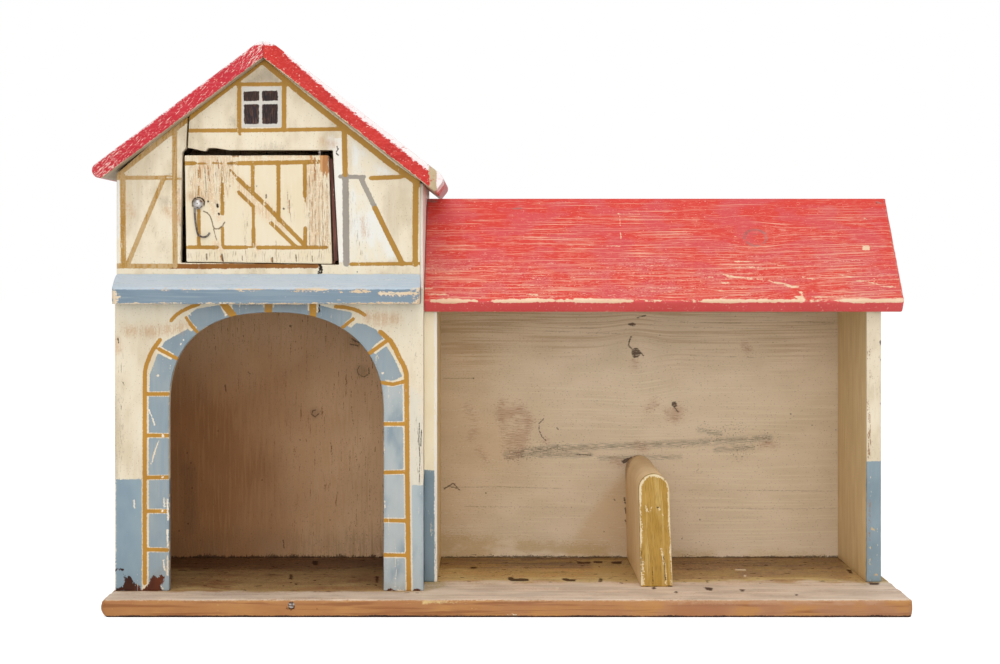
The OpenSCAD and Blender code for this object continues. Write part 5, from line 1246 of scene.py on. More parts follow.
class STABLE_OT_shed_walls(bpy.types.Operator):
    """Builds the shed's side walls and back wall"""

    bl_idname = "toy_stable.shed_walls"
    bl_label = "Shed walls"

    def execute(self, context):
        front_y = -30.0
        blue = BLUE_COAT._replace(colours=("#7F919B", "#8C9EA8"), worn=0.05)
        inner = Coat("within", ("#E5CB99", "#EFD8A8", "#DDC290"), worn=0.01)
        # white and bright: painted light that lifts the left wall's front edge out of the tower's shadow.
        white = Coat("white", ("#F6F1E6", "#F3EFE8"), worn=0.1, ragged=0.4)
        bright = Coat("bright", ("#F7EDD2", "#F3E5C4"), worn=0.02, ragged=0.4)
        chip = Coat("chip", ("#D8BC8C", "#C9A876"), worn=0.15, ragged=0.6, lift=-0.06)
        brown = Coat("brown", ("#A0764E", "#8A6240"), by="fibre", worn=0.35, blend=0.03, ragged=0.7,
                     cover=0.8, lift=-0.06)
        dark = Coat("dark", ("#4A3A2C", "#3A2E24"), worn=0.05, ragged=0.3)
        material = cream_front("Cream enamel on the shed", inner, bright, blue, SPLIT_COAT, white, chip,
                               brown, dark)
        for node, height in (("shed_left_wall", 90.7), ("shed_right_wall", 97.0)):
            right = node == "shed_right_wall"
            loop, span = outline(node, 0)
            wall = Board(loop, span, 0, rims=(0.7, 0.8), cells=(4.0, 4.0), step=1.3, spacing=1.3, seed=21)
            _, y, z = wall.at.T
            edge = y < front_y + 1
            outside = edge | ((wall.depth > wall.thick - 1.0) & right)
            wall.cover("blue", height + 0.8 * ripple(wall.at, 14, 5) - z, outside)
            wall.cover("within", 3.0, ~outside & (y > front_y + 1.5))
            if right:
                wall.mark(SHED_EDGE, edge, wall.at[:, [0, 2]])
            else:
                # Painted light on the left wall's front edge, which stands in the tower's shadow: lighter
                # cream over the whole edge and a white lip along its inner arris.
                wall.cover("white", wall.depth - wall.thick + 2.0, edge)
                wall.cover("bright", 3.0, edge)
            wall.cover("split", 2.5 * ripple(wall.at, 20, 6) - 1.5, edge & right & (z > height))
            wall.lay_grain((2, 1, 0), seed=15)
            make_piece(node, [wall], material)

        loop, span = outline("shed_back_wall", 1)
        fine = SHED_BACK["dark"] + SHED_BACK["hair"]
        back = Board(loop, span, 1, rims=(0.6, 0.6), cells=(1.5, 4.0), spacing=3.0, fine=fine,
                     pits=nail_pits("back_nails", 1, 1, span), seed=23)
        back.mark(SHED_BACK)
        x, _, z = back.at.T
        # The grime layer darkens and yellows the wall towards the floor and towards its left end.
        low_left_darkening = np.maximum(15 - z, 17 - np.abs(z - 12) - (x + 40) / 14)
        back.cover("grime", low_left_darkening + 3 * ripple(back.at, 11, 8), back.front)
        # The foot layer darkens a band along the wall's foot, where it meets the floor.
        foot_darkening = 13.2 - z + 1.2 * ripple(back.at * (1, 1, 0), 7, 3) + 0.8 * ripple(back.at, 2.5, 4)
        back.cover("foot", foot_darkening, back.front)
        back.cover("shade", (-(x + 10) / 14) + 3 * ripple(back.at, 30, 2), back.front)
        back.cover("lines", (z - 168) / 6 + 4 * ripple(back.at, 40, 4), back.front)
        back.lay_grain((0, 2, 1), seed=18, sway=2.4, knots=((98, 168, 7), (133, 125, 5)))
        enamel = Coat(colours=("#E4D1B7", "#DBC8AC", "#E5D4B9"), worn=0.012, rough=0.5, lift=0.05)
        shade = Coat("shade", ("#D5B78C", "#CCAE82"), worn=0.1, ragged=2.0, soft=4.0, cover=0.55)
        # grime: darker, yellower paint towards the floor and the left end.
        grime = Coat("grime", ("#CAAC75", "#BF9F69"), by="cloud", worn=0.3, blend=0.08, ragged=3.0, soft=4.0,
                     cover=0.55)
        lines = Coat("lines", ("#B18759", "#A2794A"), by="rings", worn=0.62, blend=0.05, ragged=1.0, soft=4.0,
                     cover=0.42, lift=-0.03)
        hair = Coat("hair", ("#8F7355", "#7C6248"), worn=0.4, ragged=0.3, soft=0.4, cover=0.42, lift=-0.1)
        smudge = Coat("smudge", ("#8B8672", "#7A7464"), by="fibre", worn=0.42, blend=0.06, ragged=0.6,
                      soft=1.8, cover=0.62)
        pepper = Coat("pepper", ("#6B6450", "#5A5242"), by="speck", worn=0.84, blend=0.06, ragged=2.5,
                      soft=3.5, cover=0.42)
        pink = Coat("pink", ("#B58A6E", "#A0765C"), by="fibre", worn=0.66, blend=0.04, ragged=3.0, soft=3.0,
                    cover=0.6, lift=-0.05)
        blush = Coat("pink", ("#C9A68C", "#BE987E"), by="cloud", worn=0.3, blend=0.08, ragged=3.0, soft=3.5,
                     cover=0.4)
        foot = Coat("foot", ("#4E3E2A", "#3C2E20"), worn=0.15, ragged=1.2, soft=0.6, cover=0.8)
        dark = Coat("dark", ("#553C30", "#443028"), worn=0.2, ragged=0.35, soft=0.4, cover=0.9, lift=-0.12)
        grit = Coat(colours=("#8E7A60", "#7A664C"), by="speck", worn=0.96, blend=0.02, cover=0.5, lift=-0.06)
        # Thin cream enamel on level grain: knots and rings show through it, with soot over one seam. The grit
        # is finer in life and is drawn about 1 mm coarse, or a picture of the whole stable would lose it.
        material = coated("Cream enamel in the shed", ("#B89C78", "#A88A64", "#BFA684"),
                          (enamel, grit, shade, lines, grime, blush, hair, smudge, pepper, pink, foot, dark),
                          grain=(80.0, 1.2), relief=0.2)
        make_piece("shed_back_wall", [back], material)
        return {"FINISHED"}


class STABLE_OT_baseboard(bpy.types.Operator):
    """Builds the varnished baseboard with its dusty floor"""

    bl_idname = "toy_stable.baseboard"
    bl_label = "Baseboard"

    def execute(self, context):
        low, high = (Vector(c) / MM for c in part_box("baseboard"))
        span = (low.z, high.z)
        plan = [(low.x, high.y), (low.x, low.y), (high.x, low.y), (high.x, high.y)]
        board = Board(plan, span, 2, rims=(1.0, sizes()["base_arris"]), cells=(9.0, 1.5), step=1.4,
                      corner=3.0, spacing=4.0, seed=27)
        x, y, z = board.at.T
        rounding = 3.2 * np.clip((low.x + 8 - x) / 8, 0, 1) - 1.2 * np.clip((x - high.x + 5) / 5, 0, 1)
        level = z / (0.5 * high.z) - 1
        x += rounding * level ** 2 * np.where(level > 0, 0.45, 1.0)
        x -= 1.7 * np.clip((low.x + 12 - x) / 12, 0, 1)
        tower_edge, tower_front, shed_front, front_face = -58.0, -76.0, -30.0, -105.0
        top = board.depth > board.thick - 3
        indoors = np.where(x < tower_edge, y - tower_front, y - shed_front)
        outdoors = -indoors / np.where(x < tower_edge, 2.5, 6) + 2.5 * ripple(board.at, 18, 9)
        board.cover("pale", np.minimum(outdoors, (z - 11.4) * 8), top)
        board.cover("stall", np.minimum((tower_edge - x) / 3, indoors / 10), top)
        spilt = 3.5 * ripple(board.at, 26, 1) + 3 * ripple(board.at, 7, 3) + 0.9
        board.cover("residue", spilt - np.clip((y - 30) / 6, 0, 9), top & (indoors > -5))
        damp = np.where(x < tower_edge, (y - 14) / 7, (y - 44) / 7)
        board.cover("grime", damp + 3 * ripple(board.at * (0.3, 1, 1), 12, 5), top & (indoors > 0))
        board.cover("grime", 2.0 - (98 - y) / 2 + 3 * ripple(board.at, 6, 2), top & (y > 80))
        board.cover("dark", 6 * ripple(board.at, 4, 11) - 3.2, top & (indoors > -8))
        board.mark(FLOOR, top, board.at[:, [0, 1]])
        edge = ~top & (y < front_face)
        board.mark(BASE_EDGE, edge, board.at[:, [0, 2]])
        # Painted shadow: a dark line along the board's foot where it sits on the table.
        board.cover("foot", 1.3 - z + 0.5 * ripple(board.at, 15, 4), z < 4)
        # Painted highlight: the arris layer lightens the rounded top of the front edge.
        board.cover("arris", z - 10.9 + 0.3 * ripple(board.at * (0.4, 1, 1), 9, 3), y < front_face)
        board.cover("rosy", (x - 60) / 40 + 3 * ripple(board.at * (1, 1, 3), 24, 8), y < front_face)
        beside = top & (x > tower_edge)
        board.cover("sand", 5 - np.abs(y + 24) / 3.5 + 4 * ripple(board.at * (0.5, 1, 1), 14, 2), beside)
        board.cover("sand", 4 - (x - tower_edge) / 6 + 4 * ripple(board.at, 10, 5), beside & (y < 40))
        stain = np.minimum(6 - np.abs(x - 185) / 14, 5 - np.abs(y - 24) / 8)
        board.cover("umber", stain + 3 * ripple(board.at, 22, 3), top)
        stain = np.minimum(5 - np.abs(x - 40) / 9, 4 - np.abs(y - 62) / 6)
        board.cover("umber", stain + 3 * ripple(board.at, 16, 7), top)
        board.cover("shed", np.minimum((x - tower_edge) / 3, indoors / 10), top)
        board.cover("dusty", (x - 108) / 12 + 2 * ripple(board.at, 30, 6), top)
        board.lay_grain((0, 1, 2), seed=21, sway=2.0)
        varnish = Coat(colours=("#B6834E", "#A77146", "#925F38"), worn=0.04, rough=0.4, lift=0.03)
        stall = Coat("stall", ("#8A6444", "#7A5638"), worn=0.1, ragged=2.0, soft=3.0, cover=0.75)
        residue = Coat("residue", ("#CDB27C", "#C2A872"), worn=0.35, blend=0.04, ragged=1.2, soft=2.0,
                       cover=0.6, rough=0.8)
        grime = Coat("grime", ("#5E3F28", "#4A2F1E"), worn=0.2, blend=0.05, ragged=2.0, soft=3.5, cover=0.75)
        pale = Coat("pale", ("#EFDAC6", "#E4CCB2", "#F4E4D2"), worn=0.12, blend=0.03, ragged=1.2, soft=1.5,
                    cover=0.85, rough=0.6)
        crumbs = residue._replace(mask="crumbs", by="speck", worn=0.45, cover=0.85, lift=0.1)
        shed = Coat("shed", ("#D0A25E", "#BE9052", "#D8AE6C"), worn=0.1, blend=0.03, ragged=2.0, soft=4.0,
                    cover=0.8, rough=0.6)
        dusty = Coat("dusty", ("#CBA488", "#B8906F"), by="cloud", worn=0.4, blend=0.08, ragged=3.0, soft=5.0,
                     cover=0.6, rough=0.65)
        # arris: a painted highlight on the front edge's rounding.
        arris = Coat("arris", ("#CDA982", "#C59A6E"), worn=0.25, blend=0.04, ragged=0.35, soft=0.6, cover=0.7)
        rosy = Coat("rosy", ("#AE8468", "#A27258"), by="cloud", worn=0.2, blend=0.08, ragged=1.0, soft=4.0,
                    cover=0.55)
        sand = Coat("sand", ("#E9D6A0", "#DABF84"), by="cloud", worn=0.45, blend=0.05, ragged=2.4, soft=3.0,
                    cover=0.8, rough=0.75)
        umber = Coat("umber", ("#7E5E4C", "#70503E"), worn=0.15, blend=0.06, ragged=2.0, soft=4.0, cover=0.75)
        dark = Coat("dark", ("#46240E", "#3A1E0C"), worn=0.1, ragged=0.9, soft=0.5, cover=0.92, rough=0.95)
        grit = Coat("stall", ("#4A3422", "#3C2A1C"), by="speck", worn=0.9, blend=0.03, ragged=1.0, soft=2.0,
                    cover=0.6, rough=0.9)
        bran = grit._replace(mask="shed", colours=("#6E5236", "#5C4229"))
        amber = Coat("shed", ("#D8BA74", "#CCAC66"), by="cloud", worn=0.68, blend=0.09, ragged=2.0, soft=4.0,
                     cover=0.36, rough=0.8)
        streak = Coat("shed", ("#84603E", "#745236"), by="rings", worn=0.8, blend=0.06, ragged=2.0, soft=4.0,
                      cover=0.4, rough=0.7)
        bloom = Coat("pale", ("#C2B4AA", "#B8A89E"), by="cloud", worn=0.55, blend=0.12, ragged=1.5, soft=2.0,
                     cover=0.34, rough=0.8)
        chaff = Coat("shed", ("#E8D4A2", "#DCC48E"), by="fibre", worn=0.88, blend=0.03, ragged=1.5, soft=3.0,
                     cover=0.6, rough=0.9)
        chip = Coat("chip", ("#EADCC4", "#DCC8A8"), worn=0.1, lift=-0.05)
        # foot: the painted contact shadow.
        foot = Coat("foot", ("#3A2A22", "#2E2220"), worn=0.05, ragged=0.3, soft=0.4, rough=0.8)
        # Old varnish on pine: warm brown and half-glossy, hidden under pale dust, chaff and glue. The chaff
        # and the dark crumbs are drawn about 1 mm coarse, since finer ones would blur away in a picture.
        material = coated("Varnished pine", ("#C0925C", "#AC7B47", "#C79B67"),
                          (varnish, rosy, shed, dusty, umber, stall, grime, residue, sand, amber, streak,
                           chaff, grit, bran, arris, pale, bloom, crumbs, chip, dark, foot),
                          grain=(60.0, 2.2), relief=0.16)
        make_piece("baseboard", [board], material)
        return {"FINISHED"}


class STABLE_OT_partition(bpy.types.Operator):
    """Builds the stall partition with its ochre front edge"""

    bl_idname = "toy_stable.partition"
    bl_label = "Stall partition"

    def execute(self, context):
        loop, span = outline("stall_partition", 1)
        board = Board(loop, span, 1, rims=(0.9, 0.6), cells=(1.0, 5.0), step=3.0, spacing=1.6,
                      fine=PARTITION["dark"], seed=31)
        x, _, z = board.at.T
        front = board.depth < 3
        board.mark(PARTITION, front)
        board.cover("ochre", 3.0 - board.depth / 2, board.depth < 8)
        rim = reach(board.flat, softened(loop, 1.5, 1.6), closed=True)
        board.cover("cream", 1.3 - rim + 1.3 * ripple(board.at, 8, 2), front & (z > 13))
        # Painted shade with dirt where the partition's top meets the back wall, strongest at the rear and on
        # the left.
        board.cover("rubbed", 3 - np.abs(z - 84) / 2 + (board.depth - board.thick + 10) / 4 - (x - 98) / 3,
                    board.depth > 8)
        board.lay_grain((2, 0, 1), seed=24)
        pivot_z = 39.0
        share = (x - x.min()) / np.ptp(x)
        x -= (0.018 + 0.019 * share) * (z - pivot_z) + 0.5 * (1 - share)
        ochre = Coat("ochre", ("#B79148", "#AB8439", "#C1A05C"), ragged=0.8)
        cream = Coat(colours=("#F2D5A8", "#E8C695"), worn=0.04)
        furrow = Coat("ochre", ("#94743C", "#866832"), by="fibre", worn=0.8, blend=0.04, ragged=0.6,
                      cover=0.6, lift=-0.12)
        edge = Coat("cream", ("#E8D8B6", "#DCC79C"), worn=0.15, ragged=0.7, lift=-0.03)
        # rubbed: painted shade with dirt at the partition's join with the back wall.
        rubbed = Coat("rubbed", ("#8E6A4A", "#7A563A"), worn=0.3, blend=0.04, ragged=1.5, soft=2.0, cover=0.8)
        dark = Coat("dark", ("#4E3A1E", "#5E4828"), worn=0.1, ragged=0.4, lift=-0.1)
        # Ochre oil enamel over a cream coat: satin, with brush furrows, rubbed back to cream at the edge.
        material = coated("Ochre enamel, worn", ("#C9A779", "#B8925F", "#D8C09A"),
                          (cream, rubbed, ochre, furrow, edge, dark), relief=0.2)
        make_piece("stall_partition", [board], material)
        return {"FINISHED"}


class STABLE_OT_hatch(bpy.types.Operator):
    """Builds the hayloft's hatch door with its worn paint and splintered hinge edge"""

    bl_idname = "toy_stable.hatch"
    bl_label = "Hatch door"

    def execute(self, context):
        _, span = outline("hatch_door", 1)
        face = [(-220.7, 309.7), (-219.4, 236.9), (-119.9, 235.5), (-122.3, 309.7)]
        front = Board(face, (span[0], span[0] + 3.0), 1, rims=(0.7, 0.1), cells=(0.9, 6.0), spacing=0.9,
                      fine=HATCH["dark"] + HATCH["bare"], seed=35)
        full = [(-220.7, 309.7), (-219.4, 236.9), (-118.23, 235.5), (-118.3, 237.7), (-116.0, 237.7),
                (-119.9, 307.5), (-122.1, 307.5), (-122.21, 309.7)]
        # A painted shadow line where the door's paint meets its hinge edge.
        hinge_edge_shadow = [(1.5, (-121.5, 292), (-121.2, 281), (-120.5, 262), (-119.7, 238))]
        rear = Board(full, (span[0] + 2.95, span[1]), 1, rims=(0.3, 0.8), cells=(1.0, 4.0), spacing=1.2,
                     fine=hinge_edge_shadow, seed=36)
        front.mark(HATCH)
        rear.mark({"pit": hinge_edge_shadow}, rear.depth < 1)
        rear.cover("raw", 3.0, (rear.depth < 5) & (rear.at[:, 0] > -124))
        for board in (front, rear):
            board.lay_grain((2, 0, 1), seed=26)
        peel = Coat("peel", ("#DDBE98", "#D2AC82", "#E4CAA6"), worn=0.45, blend=0.03, ragged=1.6, soft=2.0,
                    cover=0.85, lift=-0.12, rough=0.65)
        flake = Coat("peel", ("#F2E8D6", "#F6EEE0"), by="speck", worn=0.84, ragged=1.0, soft=1.0, blend=0.04,
                     cover=0.7, lift=0.12)
        bare = Coat("bare", ("#BE8A56", "#A9744A", "#CC9A68"), worn=0.1, lift=-0.2, rough=0.7)
        # pit: dark holes, and painted shadow at the latch nail and the hinge edge.
        pit = Coat("pit", ("#2A2018", "#3A2C20"), worn=0.05, ragged=0.25, soft=0.3, lift=-0.4, rough=0.8)
        raw = Coat("raw", ("#6A433C", "#50342F", "#7A5248"), ragged=0.4, rough=0.8)
        hair = Coat("hair", ("#A88460", "#96744F"), worn=0.25, ragged=0.25, soft=0.3, cover=0.75, lift=-0.12,
                    rough=0.7)
        dark = Coat("dark", ("#6A543C", "#54422E"), worn=0.12, ragged=0.2, soft=0.25, cover=0.85, lift=-0.25,
                    rough=0.8)
        ochre = OCHRE_COAT._replace(colours=("#AF853B", "#A47932"), worn=0.05, worn_by="peel", rub=0.05)
        enamel = Coat(colours=("#E5D9C1", "#E1D2B4", "#E3D6BB"), worn=0.012, lift=0.08, rough=0.5)
        # The front's cream enamel, handled more: it flakes along the grain and bares wood at the hinge.
        material = coated("Cream enamel on the hatch, flaking", ("#D2AE84", "#C29A6C", "#DDBE98"),
                          (enamel, peel, flake, ochre, SPLIT_COAT._replace(worn=0.86, cover=0.5), SMEAR_COAT,
                           raw, hair, bare, dark, pit), relief=0.16, grain=(30.0, 1.8))
        make_piece("hatch_door", [front, rear], material, "hatch")
        return {"FINISHED"}


def worn_metal(name, clean, rusty, rust_share, rough):
    """Mild steel: bright where rubbed, freckled with brown rust."""
    material = bpy.data.materials.new(name)
    tree = cleared(material)
    place = add(tree, "ShaderNodeTexCoord")["Object"]
    blot = add(tree, "ShaderNodeTexNoise", {"Vector": place, "Scale": 700.0, "Detail": 4.0})[0]
    pore = add(tree, "ShaderNodeTexNoise", {"Vector": place, "Scale": 2600.0, "Detail": 2.0})[0]
    edge = threshold(1 - rust_share)
    rust = add(tree, "ShaderNodeMapRange", {0: blot, 1: edge - 0.05, 2: edge + 0.05},
               interpolation_type="SMOOTHSTEP")[0]
    colour = add(tree, "ShaderNodeMix", {0: rust, 6: tuple(clean), 7: tuple(rusty)}, data_type="RGBA")[2]
    metal = add(tree, "ShaderNodeMapRange", {0: rust, 3: 1.0, 4: 0.1})[0]
    gloss = add(tree, "ShaderNodeMapRange", {0: rust, 3: rough, 4: 0.75})[0]
    height = add(tree, "ShaderNodeMath", {0: rust, 1: 0.8, 2: pore}, operation="MULTIPLY_ADD")[0]
    bump = add(tree, "ShaderNodeBump", {"Strength": 0.6, "Distance": 0.15 * MM, "Height": height})
    shader = add(tree, "ShaderNodeBsdfPrincipled",
                 {"Base Color": colour, "Metallic": metal, "Roughness": gloss, "Normal": bump[0]})
    add(tree, "ShaderNodeOutputMaterial", {"Surface": shader[0]})
    return material


def nail_places(node):
    """The head's middle, the direction that it faces and the length, for each nail of a CAD group, in mm."""
    bm = cad_mesh(node)
    left = dict.fromkeys(bm.verts)
    places = []
    while left:
        stack, island = [left.popitem()[0]], []
        while stack:
            vert = stack.pop()
            island.append(np.array(vert.co) / MM)
            for edge in vert.link_edges:
                other = edge.other_vert(vert)
                if other in left:
                    del left[other]
                    stack.append(other)
        cloud = np.array(island)
        middle = (cloud.min(0) + cloud.max(0)) / 2
        axis = np.linalg.svd(cloud - cloud.mean(0), full_matrices=False)[2][0]
        height = (cloud - middle) @ axis
        radius = np.linalg.norm(cloud - middle - height[:, None] * axis, axis=1)
        if height[np.argmax(radius)] < 0:
            axis, height = -axis, -height
        places.append((cloud[height > height.max() - 0.05].mean(0), axis, np.ptp(height)))
    bm.free()
    return places


def nail_pits(node, axis, end, span):
    """The pits over the nail heads that open on one end of a board: end, place, radius and drop."""
    across = [i for i in range(3) if i != axis]
    return [(end, place[across[0]], place[across[1]], 2.45, 0.45) for place, facing, _ in nail_places(node)
            if abs(place[axis] - span[end]) < 1.0 and abs(facing[axis]) > 0.9]


def grower(name, *numbers):
    """A Geometry Nodes tree that takes a geometry, these numbers and a material, and what it is given."""
    tree = bpy.data.node_groups.new(name, "GeometryNodeTree")
    for label in ("Geometry", *numbers, "Material"):
        kind = "Float" if label in numbers else label
        tree.interface.new_socket(label, in_out="INPUT", socket_type="NodeSocket" + kind)
    tree.interface.new_socket("Geometry", in_out="OUTPUT", socket_type="NodeSocketGeometry")
    return tree, add(tree, "NodeGroupInput")


def hand_out(tree, shape, material):
    """Ends a Geometry Nodes tree with real geometry in its material."""
    real = add(tree, "GeometryNodeRealizeInstances", {"Geometry": shape})[0]
    made = add(tree, "GeometryNodeSetMaterial", {"Geometry": real, "Material": material})[0]
    add(tree, "NodeGroupOutput", {"Geometry": made})


def nail_tree():
    """Geometry Nodes that drive a wire nail in at every point, facing as the point says."""
    tree, given = grower("Wire nails", "Head radius", "Head thickness", "Shank radius", "Length")
    head, shank = given["Head radius"], given["Shank radius"]
    shares = (("Head radius", 0.82), ("Head thickness", -0.3), ("Head thickness", -1.0),
              ("Head thickness", 0.3), ("Head thickness", 0.7), ("Shank radius", 2.8), ("Length", -1.0))
    lengths = [add(tree, "ShaderNodeMath", {0: given[label], 1: share}, operation="MULTIPLY")[0] for label,
               share in shares]
    bevel, rim, under, face, slab, tip, foot = lengths
    body = add(tree, "ShaderNodeMath", {0: given["Length"], 1: tip}, operation="SUBTRACT")[0]
    body = add(tree, "ShaderNodeMath", {0: body, 1: under}, operation="ADD")[0]
    neck = add(tree, "ShaderNodeMath", {0: under, 1: body}, operation="SUBTRACT")[0]
    point = 0.1 * MM
    cones = ((bevel, head, face, rim), (head, head, slab, under), (shank, shank, body, neck),
             (shank, point, tip, foot))
    parts = []
    for above, below, depth, low in cones:
        inputs = {"Vertices": 18, "Radius Top": above, "Radius Bottom": below, "Depth": depth}
        cone = add(tree, "GeometryNodeMeshCone", inputs)
        lift = add(tree, "ShaderNodeCombineXYZ", {2: low})
        parts.append(add(tree, "GeometryNodeTransform", {"Geometry": cone[0], "Translation": lift[0]})[0])
    nail = add(tree, "GeometryNodeJoinGeometry", {0: parts})
    facing = add(tree, "GeometryNodeInputNamedAttribute", {"Name": "facing"}, data_type="FLOAT_VECTOR")
    turned = add(tree, "FunctionNodeAlignRotationToVector", {"Vector": facing[0]}, axis="Z")
    places = {"Points": given["Geometry"], "Instance": nail[0], "Rotation": turned[0]}
    hand_out(tree, add(tree, "GeometryNodeInstanceOnPoints", places)[0], given["Material"])
    return tree


def wire_tree():
    """Geometry Nodes that bend a round wire along a path."""
    tree, given = grower("Bent wire", "Wire radius")
    path = add(tree, "GeometryNodeMeshToCurve", {"Mesh": given["Geometry"]})
    ring = add(tree, "GeometryNodeCurvePrimitiveCircle", {"Resolution": 14, "Radius": given["Wire radius"]})
    tube = add(tree, "GeometryNodeCurveToMesh",
               {"Curve": path[0], "Profile Curve": ring[0], "Fill Caps": True})
    hand_out(tree, tube[0], given["Material"])
    return tree


def grown(source, tree, settings):
    """The plain mesh that a node tree makes from a source mesh."""
    holder = bpy.data.objects.new("source", source)
    bpy.context.scene.collection.objects.link(holder)
    modifier = holder.modifiers.new("Grow", "NODES")
    modifier.node_group = tree
    for item in tree.interface.items_tree:
        if item.item_type == "SOCKET" and item.in_out == "INPUT" and item.name in settings:
            modifier[item.identifier] = settings[item.name]
    depsgraph = bpy.context.evaluated_depsgraph_get()
    mesh = bpy.data.meshes.new_from_object(holder.evaluated_get(depsgraph))
    bpy.data.objects.remove(holder)
    return mesh


class STABLE_OT_nails(bpy.types.Operator):
    """Drives the wire nails, one mesh for each group"""

    bl_idname = "toy_stable.nails"
    bl_label = "Wire nails"

    def execute(self, context):
        colours = context.scene.toy_stable_colours
        steel = worn_metal("Wire nail steel", colours.steel, colours.rust, 0.45, 0.45)
        tree = nail_tree()
        size = sizes()
        for node in ("base_nails", "base_edge_nail", "front_nails", "ledge_nails", "back_nails", "loft_nails",
                     "tower_roof_nails", "shed_roof_nails", "pivot_nail_top", "pivot_nail_bottom"):
            places = nail_places(node)
            proud = 0.5 if node == "base_edge_nail" else 0.0
            shank = 1.1 if node.startswith("pivot") else size["shank"]
            source = bpy.data.meshes.new("NailHeads")
            source.from_pydata([tuple((place + axis * proud) * MM) for place, axis, _ in places], [], [])
            facing = source.attributes.new("facing", "FLOAT_VECTOR", "POINT")
            facing.data.foreach_set("vector",
                                    np.concatenate([axis for _, axis, _ in places]).astype(np.float32))
            mesh = grown(source, tree, {"Head radius": size["head"] * MM, "Head thickness": 0.8 * MM,
                                        "Shank radius": shank * MM, "Length": float(places[0][2]) * MM,
                                        "Material": steel})
            settle(node, mesh, steel, smooth=30)
        return {"FINISHED"}


class STABLE_OT_latch(bpy.types.Operator):
    """Builds the domed latch nail and the wire hook that hangs from it"""

    bl_idname = "toy_stable.latch"
    bl_label = "Latch nail and hook"

    def execute(self, context):
        rust = context.scene.toy_stable_colours.rust
        nail_x, nail_z = -211.4, 276.4
        tip_y, end_y, around = -77.1, -63.5, 40
        dome = ((0.7, -77.05), (1.5, -76.85), (2.3, -76.4), (3.0, -75.75), (3.45, -75.2), (3.6, -75.0),
                (3.5, -74.9), (1.6, -74.86), (1.5, -74.7), (1.5, -63.7), (1.3, end_y))
        points, faces = [], []
        for radius, y in dome:
            for angle in np.linspace(0, 2 * math.pi, around, endpoint=False):
                dented = radius * (1 + 0.012 * math.sin(3 * angle + 0.7) + 0.008 * math.sin(7 * angle))
                points.append((nail_x + dented * math.cos(angle), y, nail_z + dented * math.sin(angle)))
        for row in range(0, (len(dome) - 1) * around, around):
            for k in range(around):
                a, b = row + k, row + (k + 1) % around
                faces.append((a, b, b + around, a + around))
        for row, y in ((0, tip_y), ((len(dome) - 1) * around, end_y)):
            points.append((nail_x, y, nail_z))
            faces += [(row + k, row + (k + 1) % around, len(points) - 1) for k in range(around)]
        mesh = bpy.data.meshes.new("LatchNail")
        mesh.from_pydata((np.array(points) * MM).tolist(), [], faces)
        steel = worn_metal("Domed steel", linear("#A9A6A3"), rust, 0.12, 0.3)
        settle("latch_nail", mesh, steel, "hatch", smooth=50)

        ring, shank, crook, lean, hook_y = 2.23, 78.95, 4.4, math.radians(2), -73.95
        foot = math.radians(194)
        crook_x, crook_z = shank - ring + (shank - crook) * math.cos(foot), (shank - crook) * math.sin(foot)
        bends = ((0, 0, ring, -106, 180, 40), (shank - ring, 0, shank, 180, 194, 16),
                 (crook_x, crook_z, crook, 194, 344, 28))
        path = []
        for middle_x, middle_z, radius, start, stop, count in bends:
            for angle in np.radians(np.linspace(start, stop, count + 1))[1 if path else 0:]:
                x, z = middle_x + radius * math.cos(angle), middle_z + radius * math.sin(angle)
                path.append(((nail_x + x * math.cos(lean) + z * math.sin(lean)) * MM, hook_y * MM,
                             (nail_z - x * math.sin(lean) + z * math.cos(lean)) * MM))
        source = bpy.data.meshes.new("HookPath")
        source.from_pydata(path, [(i, i + 1) for i in range(len(path) - 1)], [])
        wire = worn_metal("Dull iron wire", linear("#77726E"), linear("#4A3B32"), 0.55, 0.5)
        mesh = grown(source, wire_tree(), {"Wire radius": sizes()["wire"] * MM, "Material": wire})
        settle("latch_hook", mesh, wire, "hook", smooth=60)
        return {"FINISHED"}


def lit_and_seen(tree, lit, seen):
    """One shader for the light that falls on things, and another for what the camera and mirrors see."""
    rays = add(tree, "ShaderNodeLightPath")
    straight = rays["Is Camera Ray"]
    for kind in ("Is Glossy Ray", "Is Transmission Ray"):
        straight = add(tree, "ShaderNodeMath", {0: straight, 1: rays[kind]}, operation="MAXIMUM")[0]
    return add(tree, "ShaderNodeMixShader", {0: straight, 1: lit, 2: seen})[0]


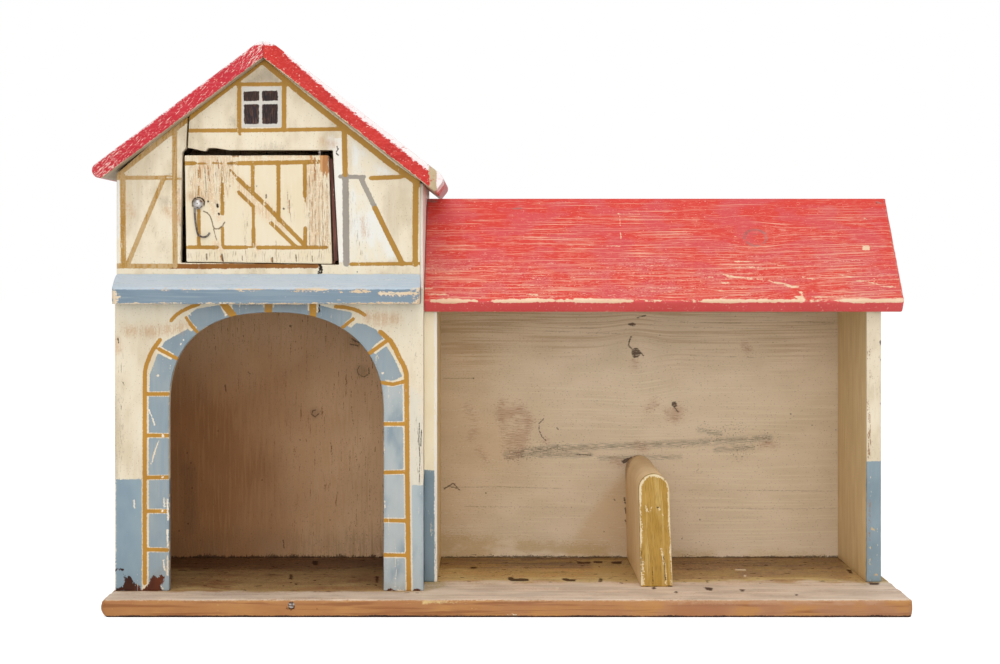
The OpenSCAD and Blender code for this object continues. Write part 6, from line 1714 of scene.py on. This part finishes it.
class STABLE_OT_stage(bpy.types.Operator):
    """Sets the pale floor, the soft lights and the camera"""

    bl_idname = "toy_stable.stage"
    bl_label = "Stage"

    def execute(self, context):
        scene = context.scene
        light = scene.toy_stable_light
        mesh = bpy.data.meshes.new("Floor")
        side = 12.0
        mesh.from_pydata([(-side, -side, 0), (side, -side, 0), (side, side, 0), (-side, side, 0)], [],
                         [(0, 1, 2, 3)])
        floor = bpy.data.objects.new("Floor", mesh)
        scene.collection.objects.link(floor)
        # A matt white table that glows a little, so that it stays almost white up to the soft shadow.
        material = bpy.data.materials.new("Pale studio floor")
        tree = cleared(material)
        matt = add(tree, "ShaderNodeBsdfDiffuse", {"Color": light.floor})[0]
        glow = add(tree, "ShaderNodeEmission", {"Color": (1, 1, 1, 1), "Strength": 0.66})[0]
        both = add(tree, "ShaderNodeAddShader", {0: matt, 1: glow})[0]
        add(tree, "ShaderNodeOutputMaterial", {"Surface": lit_and_seen(tree, matt, both)})
        mesh.materials.append(material)

        scene.world = bpy.data.worlds.new("Studio")
        tree = cleared(scene.world)
        room = add(tree, "ShaderNodeBackground", {"Color": linear("#FFFCF6"), "Strength": light.room})[0]
        white = add(tree, "ShaderNodeBackground", {"Color": (1, 1, 1, 1), "Strength": 1.0})[0]
        add(tree, "ShaderNodeOutputWorld", {"Surface": lit_and_seen(tree, room, white)})

        target = Vector((0, 0, 0.15))
        lamps = (("Key", light.key, (-0.7, -2.35, 0.7), 1.3), ("Fill", light.fill, (0.8, -2.35, 0.5), 1.3),
                 ("Front", light.front, (0.1, -2.9, 0.3), 1.2), ("Sky", light.sky, (0.0, -0.9, 1.7), 1.5))
        for name, power, place, width in lamps:
            lamp = bpy.data.lights.new(name, "AREA")
            lamp.size = width
            lamp.energy = power
            holder = bpy.data.objects.new(name, lamp)
            holder.location = place
            holder.rotation_euler = (target - Vector(place)).to_track_quat("-Z", "Y").to_euler()
            scene.collection.objects.link(holder)

        view = bpy.data.cameras.new("Camera")
        view.lens = 81.07
        view.shift_x = 0.013
        view.shift_y = -0.070
        camera = bpy.data.objects.new("Camera", view)
        camera.location = (-0.014, -1.612, 0.2368)
        camera.rotation_euler = (math.radians(90), 0, 0)
        scene.collection.objects.link(camera)
        scene.camera = camera
        scene.view_settings.view_transform = "Standard"
        return {"FINISHED"}


class STABLE_PT_panel(bpy.types.Panel):
    """Lists the settings and the steps that build the stable"""

    bl_label = "Toy Stable"
    bl_idname = "STABLE_PT_panel"
    bl_space_type = "VIEW_3D"
    bl_region_type = "UI"
    bl_category = "Toy Stable"

    def draw(self, context):
        for label in GROUPS:
            group = getattr(context.scene, label)
            box = self.layout.box()
            for name in group.__annotations__:
                box.prop(group, name)
        for step in STEPS:
            self.layout.operator(step.bl_idname)


STEPS = (STABLE_OT_baseboard, STABLE_OT_front_boards, STABLE_OT_ledge, STABLE_OT_tower_walls,
         STABLE_OT_tower_roof, STABLE_OT_shed_walls, STABLE_OT_shed_roof, STABLE_OT_partition,
         STABLE_OT_hatch, STABLE_OT_latch, STABLE_OT_nails, STABLE_OT_stage)
GROUPS = {"toy_stable_sizes": StableSizes, "toy_stable_light": StableLight,
          "toy_stable_colours": StableColours}


def register():
    for name, group in GROUPS.items():
        bpy.utils.register_class(group)
        setattr(bpy.types.Scene, name, PointerProperty(type=group))
    for kind in STEPS + (STABLE_PT_panel,):
        bpy.utils.register_class(kind)


def unregister():
    for kind in (STABLE_PT_panel,) + STEPS[::-1]:
        bpy.utils.unregister_class(kind)
    for name, group in GROUPS.items():
        delattr(bpy.types.Scene, name)
        bpy.utils.unregister_class(group)


def main():
    """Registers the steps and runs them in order."""
    register()
    for step in STEPS:
        group, name = step.bl_idname.split(".")
        getattr(getattr(bpy.ops, group), name)()


if __name__ == "__main__":
    main()
